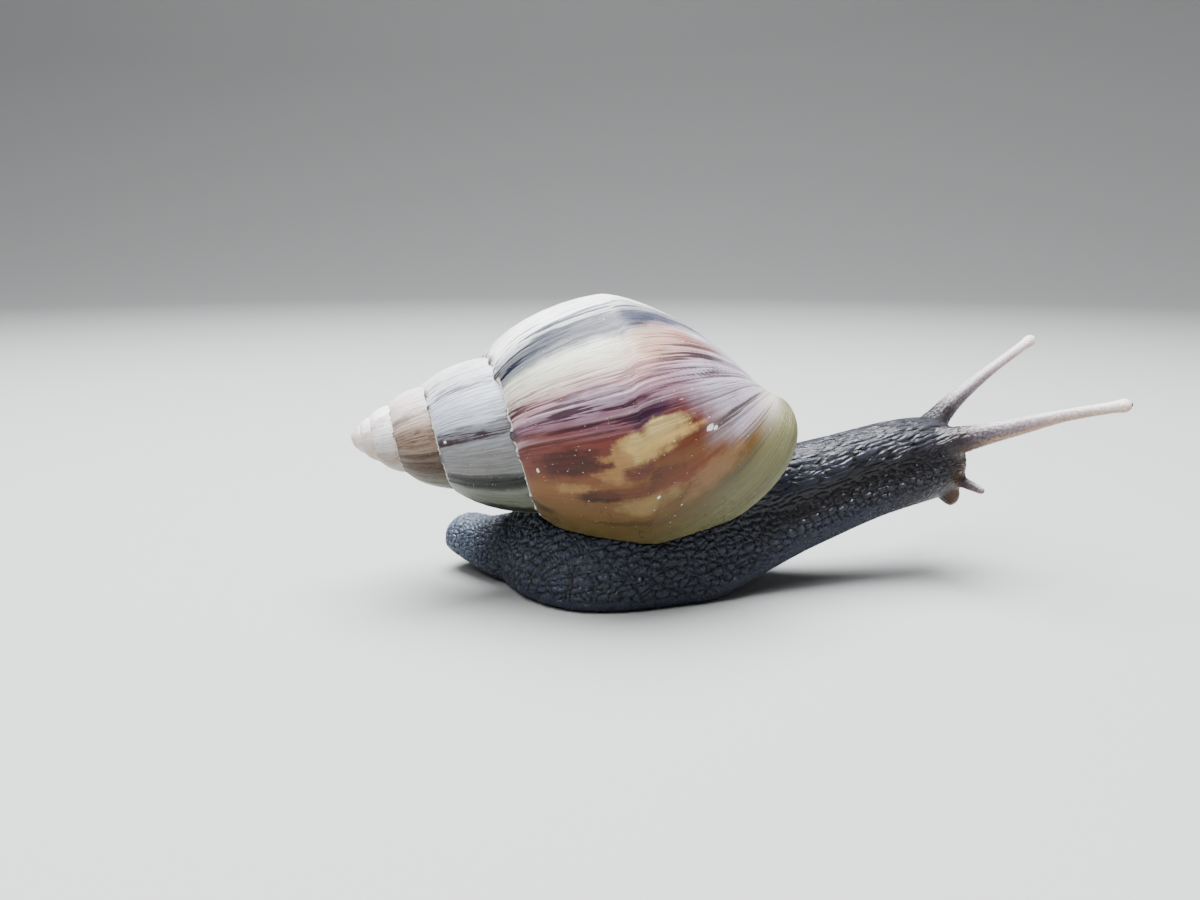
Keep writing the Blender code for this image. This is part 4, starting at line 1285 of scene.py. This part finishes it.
# colours of the skin's tops along the body, tail to snout
SKIN_TOPS = (
    (0.0, (0.150, 0.190, 0.260)),
    (1.5, (0.115, 0.148, 0.210)),
    (2.8, (0.030, 0.040, 0.064)),
    (4.5, (0.011, 0.014, 0.024)),
    (6.5, (0.009, 0.011, 0.022)),
    (8.5, (0.011, 0.009, 0.013)),
    (10.0, (0.015, 0.009, 0.007)),
    (11.4, (0.032, 0.018, 0.007)),
)
LAST_STATION = len(STATIONS) - 1


def skin_material():
    graph = Graph("giant snail skin")
    relief, station, height, lift, ridged, along, turn = map(
        graph.number, ("relief", "station", "height", "lift", "ridged", "along", "turn")
    )
    feeler, feeler_place, under = map(graph.number, ("feeler", "feeler_place", "feeler_under"))
    place = graph.place()
    mottle = graph.noise(place, scale=260.0, detail=4.0, roughness=0.6)
    grain = graph.noise(place, scale=2600.0, detail=3.0, roughness=0.6)
    bend = graph.noise(place, scale=420.0, detail=3.0) - 0.5

    # finer wrinkles than the mesh holds: long ones on the neck, granules elsewhere
    ridge_place = graph.vector(bend * 0.8 + along * 0.42, bend * 1.6 + turn * 13.0)
    fine_ridges = graph.cells(ridge_place)
    granules = graph.cells(place, scale=1100.0)
    fine = fine_ridges * ridged + granules * (1.0 - ridged)
    fine = (granules - fine) * feeler + fine
    groove = fine.span(0.16, 0.02)

    def at(number):
        return number / LAST_STATION

    tops = graph.ramp(station, [(at(number), colour) for number, colour in SKIN_TOPS])
    upper = height.span(0.45, 0.8) * station.span(at(5.5), at(7.0))
    tops = graph.mix(upper * 0.5, tops, (0.024, 0.026, 0.038))
    tops = graph.mix(mottle * 0.2, tops, (0.03, 0.036, 0.052))
    colour = graph.mix(relief.span(0.08, 0.45), (0.0025, 0.0025, 0.004), tops)
    # painted highlight: the tops of the foot's pebbles made lighter and bluer
    pebble_top_highlight = relief.span(0.45, 0.85) * ridged.span(1.0, 0.2)
    colour = graph.mix(pebble_top_highlight * 0.5, colour, (0.034, 0.043, 0.064))
    colour = graph.mix(groove * 0.45, colour, (0.004, 0.004, 0.006))
    # painted shade: a near-black band along the neck's side, where its concave waist lies in shade
    band = height.span(0.6, 0.42) * height.span(0.1, 0.24) * station.span(at(5.5), at(6.8))
    band = band * station.span(at(9.8), at(9.0))
    colour = graph.mix(band * 0.9, colour, (0.003, 0.002, 0.003))
    margin = lift.span(0.8, -0.1) * station.span(at(9.0), at(7.8))
    colour = graph.mix(margin * 0.7, colour, (0.008, 0.01, 0.024))
    snout_low = station.span(at(9.5), at(10.5)) * height.span(0.5, -0.3)
    colour = graph.mix(snout_low * 0.92, colour, (0.07, 0.032, 0.008))

    along_feeler = graph.ramp(feeler_place, (
        (0.00, (0.014, 0.009, 0.009)), (0.14, (0.020, 0.013, 0.014)), (0.25, (0.105, 0.085, 0.098)),
        (0.42, (0.22, 0.175, 0.195)), (0.70, (0.42, 0.34, 0.335)), (0.92, (0.66, 0.60, 0.55)),
        (1.00, (0.74, 0.68, 0.58)),
    ))
    # painted highlight: the upper side of the feelers' lower part made paler grey-blue
    feeler_top_highlight = under.span(-0.55, -0.95) * feeler_place.span(0.12, 0.35)
    along_feeler = graph.mix(feeler_top_highlight * 0.6, along_feeler, (0.6, 0.57, 0.58))
    below = under.span(0.05, 0.75) * feeler_place.span(0.16, 0.32)
    along_feeler = graph.mix(below * 0.85, along_feeler, (0.47, 0.29, 0.175))
    crotch = under.span(0.1, 0.7) * feeler_place.span(0.06, 0.16) * feeler_place.span(0.3, 0.18)
    along_feeler = graph.mix(crotch * 0.75, along_feeler, (0.12, 0.055, 0.036))
    streak = relief.span(0.55, 0.1) * feeler_place.span(0.7, 0.2)
    along_feeler = graph.mix(streak * 0.7, along_feeler, (0.03, 0.022, 0.026))
    along_feeler = graph.mix(groove * 0.35, along_feeler, (0.45, 0.38, 0.38), "MULTIPLY")
    colour = graph.mix(feeler, colour, along_feeler)

    pale = feeler_place.span(0.15, 0.5)
    graph.surface(Base_Color=colour, Roughness=groove * 0.2 + (grain * 0.2 + 0.2))
    graph.surface(Subsurface_Weight=pale * 0.35, Subsurface_Radius=SKIN_LIGHT_REACH, Subsurface_Scale=1.0)
    graph.surface(Specular_IOR_Level=SKIN_SPECULAR)
    bumps = fine.span(0.0, 0.34) * (feeler * -0.6 + 1.0)
    bumps = bumps * (band * -0.8 + 1.0)
    graph.bump(grain * 0.2 + bumps, SKIN_BUMP, BUMP_STRENGTH)
    return graph.material


def eye_material():
    graph = Graph("giant snail eye")
    graph.surface(Base_Color=(0.045, 0.034, 0.030), Roughness=0.18)
    return graph.material


def main():
    shell = build_shell()
    shell.data.materials.append(shell_material())
    body = Body()
    skin = build_skin(body)
    shape_skin(skin, body)
    skin.data.materials.clear()
    skin.data.materials.append(skin_material())
    flesh_nodes = [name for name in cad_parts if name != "shell" and not name.startswith("eye")]
    pieces = [(shell, "shell", ["shell"]), (skin, "flesh", flesh_nodes)]
    look = eye_material()
    for side in UPPER_TENTACLES:
        eye = build_eye(side)
        eye.data.materials.append(look)
        pieces.append((eye, "eye", [f"eye_{side}"]))
    for piece, slot, nodes in pieces:
        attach(piece, "root")
        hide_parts(*nodes)


# ---- studio ----------------------------------------------------------------
# lamps: name, place, point lit, size in metres, power in watts
LAMPS = (
    ("top light", (-0.04, 0.07, 0.55), (0.01, 0.0, 0.02), 0.50, 26.0),
    ("front light", (-0.25, -0.36, 0.58), (0.01, 0.0, 0.02), 0.30, 3.0),
    ("backdrop light", (0.0, 0.45, 0.80), (0.0, 1.45, 0.20), 0.50, 9.0),
)
LAMP_COLOUR = (0.95, 0.975, 1.0)
FLOOR_COLOUR = (0.30, 0.30, 0.295)
FLOOR_ROUGHNESS = 0.8
FLOOR_MIDDLE = 0.05                 # radius of the flat face in the middle, in metres
FLOOR_RADIUS = 0.9                  # distance from the snail where the floor turns up
FLOOR_BEND = 0.7                    # radius of that curve
FLOOR_BEND_STEPS = 25
FLOOR_WALL = 0.75                   # height of the wall's edge
FLOOR_SIDES = 96
SKY_COLOUR = (0.92, 0.95, 1.0)
SKY_STRENGTH = 0.22
CAMERA_PLACE = (-0.001, -0.142, 0.053)
CAMERA_TILT = 78.0                  # degrees up from straight down
CAMERA_LENS = 28.5                  # focal length and width of the sensor, millimetres
CAMERA_SENSOR = 36.0
CAMERA_NEAR = 0.005


def build_floor():
    """A round floor that curves up into a wall on every side, seen from inside."""
    bend = np.linspace(0.0, math.pi / 2.0, FLOOR_BEND_STEPS)
    rim = FLOOR_RADIUS + FLOOR_BEND
    out = np.concatenate(([FLOOR_MIDDLE], FLOOR_RADIUS + FLOOR_BEND * np.sin(bend), [rim]))
    rise = np.concatenate(([0.0], FLOOR_BEND * (1.0 - np.cos(bend)), [FLOOR_WALL]))
    way = math.tau * np.arange(FLOOR_SIDES) / FLOOR_SIDES
    rise = np.broadcast_to(rise[:, None], (len(out), FLOOR_SIDES))
    net = np.stack((out[:, None] * np.cos(way), out[:, None] * np.sin(way), rise), axis=-1)
    corner, after = ring_corners(len(out), FLOOR_SIDES)
    faces = np.stack((corner[:-1], corner[1:], after[1:], after[:-1]), axis=-1).reshape(-1, 4).tolist()
    mesh = bpy.data.meshes.new("floor")
    mesh.from_pydata(net.reshape(-1, 3).tolist(), [], [tuple(corner[0].tolist()), *faces])
    mesh.shade_smooth()
    paint = Graph("pale floor")
    paint.surface(Base_Color=FLOOR_COLOUR, Roughness=FLOOR_ROUGHNESS)
    floor = placed("floor", mesh)
    floor.data.materials.append(paint.material)


def build_lights():
    for name, place, target, size, power in LAMPS:
        data = bpy.data.lights.new(name, "AREA")
        data.size = size
        data.energy = power
        data.color = LAMP_COLOUR
        lamp = placed(name, data)
        lamp.location = place
        lamp.rotation_euler = (Vector(target) - Vector(place)).to_track_quat("-Z", "Y").to_euler()
    world = bpy.data.worlds.new("pale")
    world.use_nodes = True
    sky = world.node_tree.nodes["Background"]
    sky.inputs["Color"].default_value = (*SKY_COLOUR, 1.0)
    sky.inputs["Strength"].default_value = SKY_STRENGTH
    bpy.context.scene.world = world


def build_camera():
    data = bpy.data.cameras.new("camera")
    data.lens = CAMERA_LENS
    data.sensor_width = CAMERA_SENSOR
    data.clip_start = CAMERA_NEAR
    camera = placed("camera", data)
    camera.location = CAMERA_PLACE
    camera.rotation_euler = (math.radians(CAMERA_TILT), 0.0, 0.0)
    bpy.context.scene.camera = camera


main()
build_floor()
build_lights()
build_camera()
bpy.context.view_layer.update()
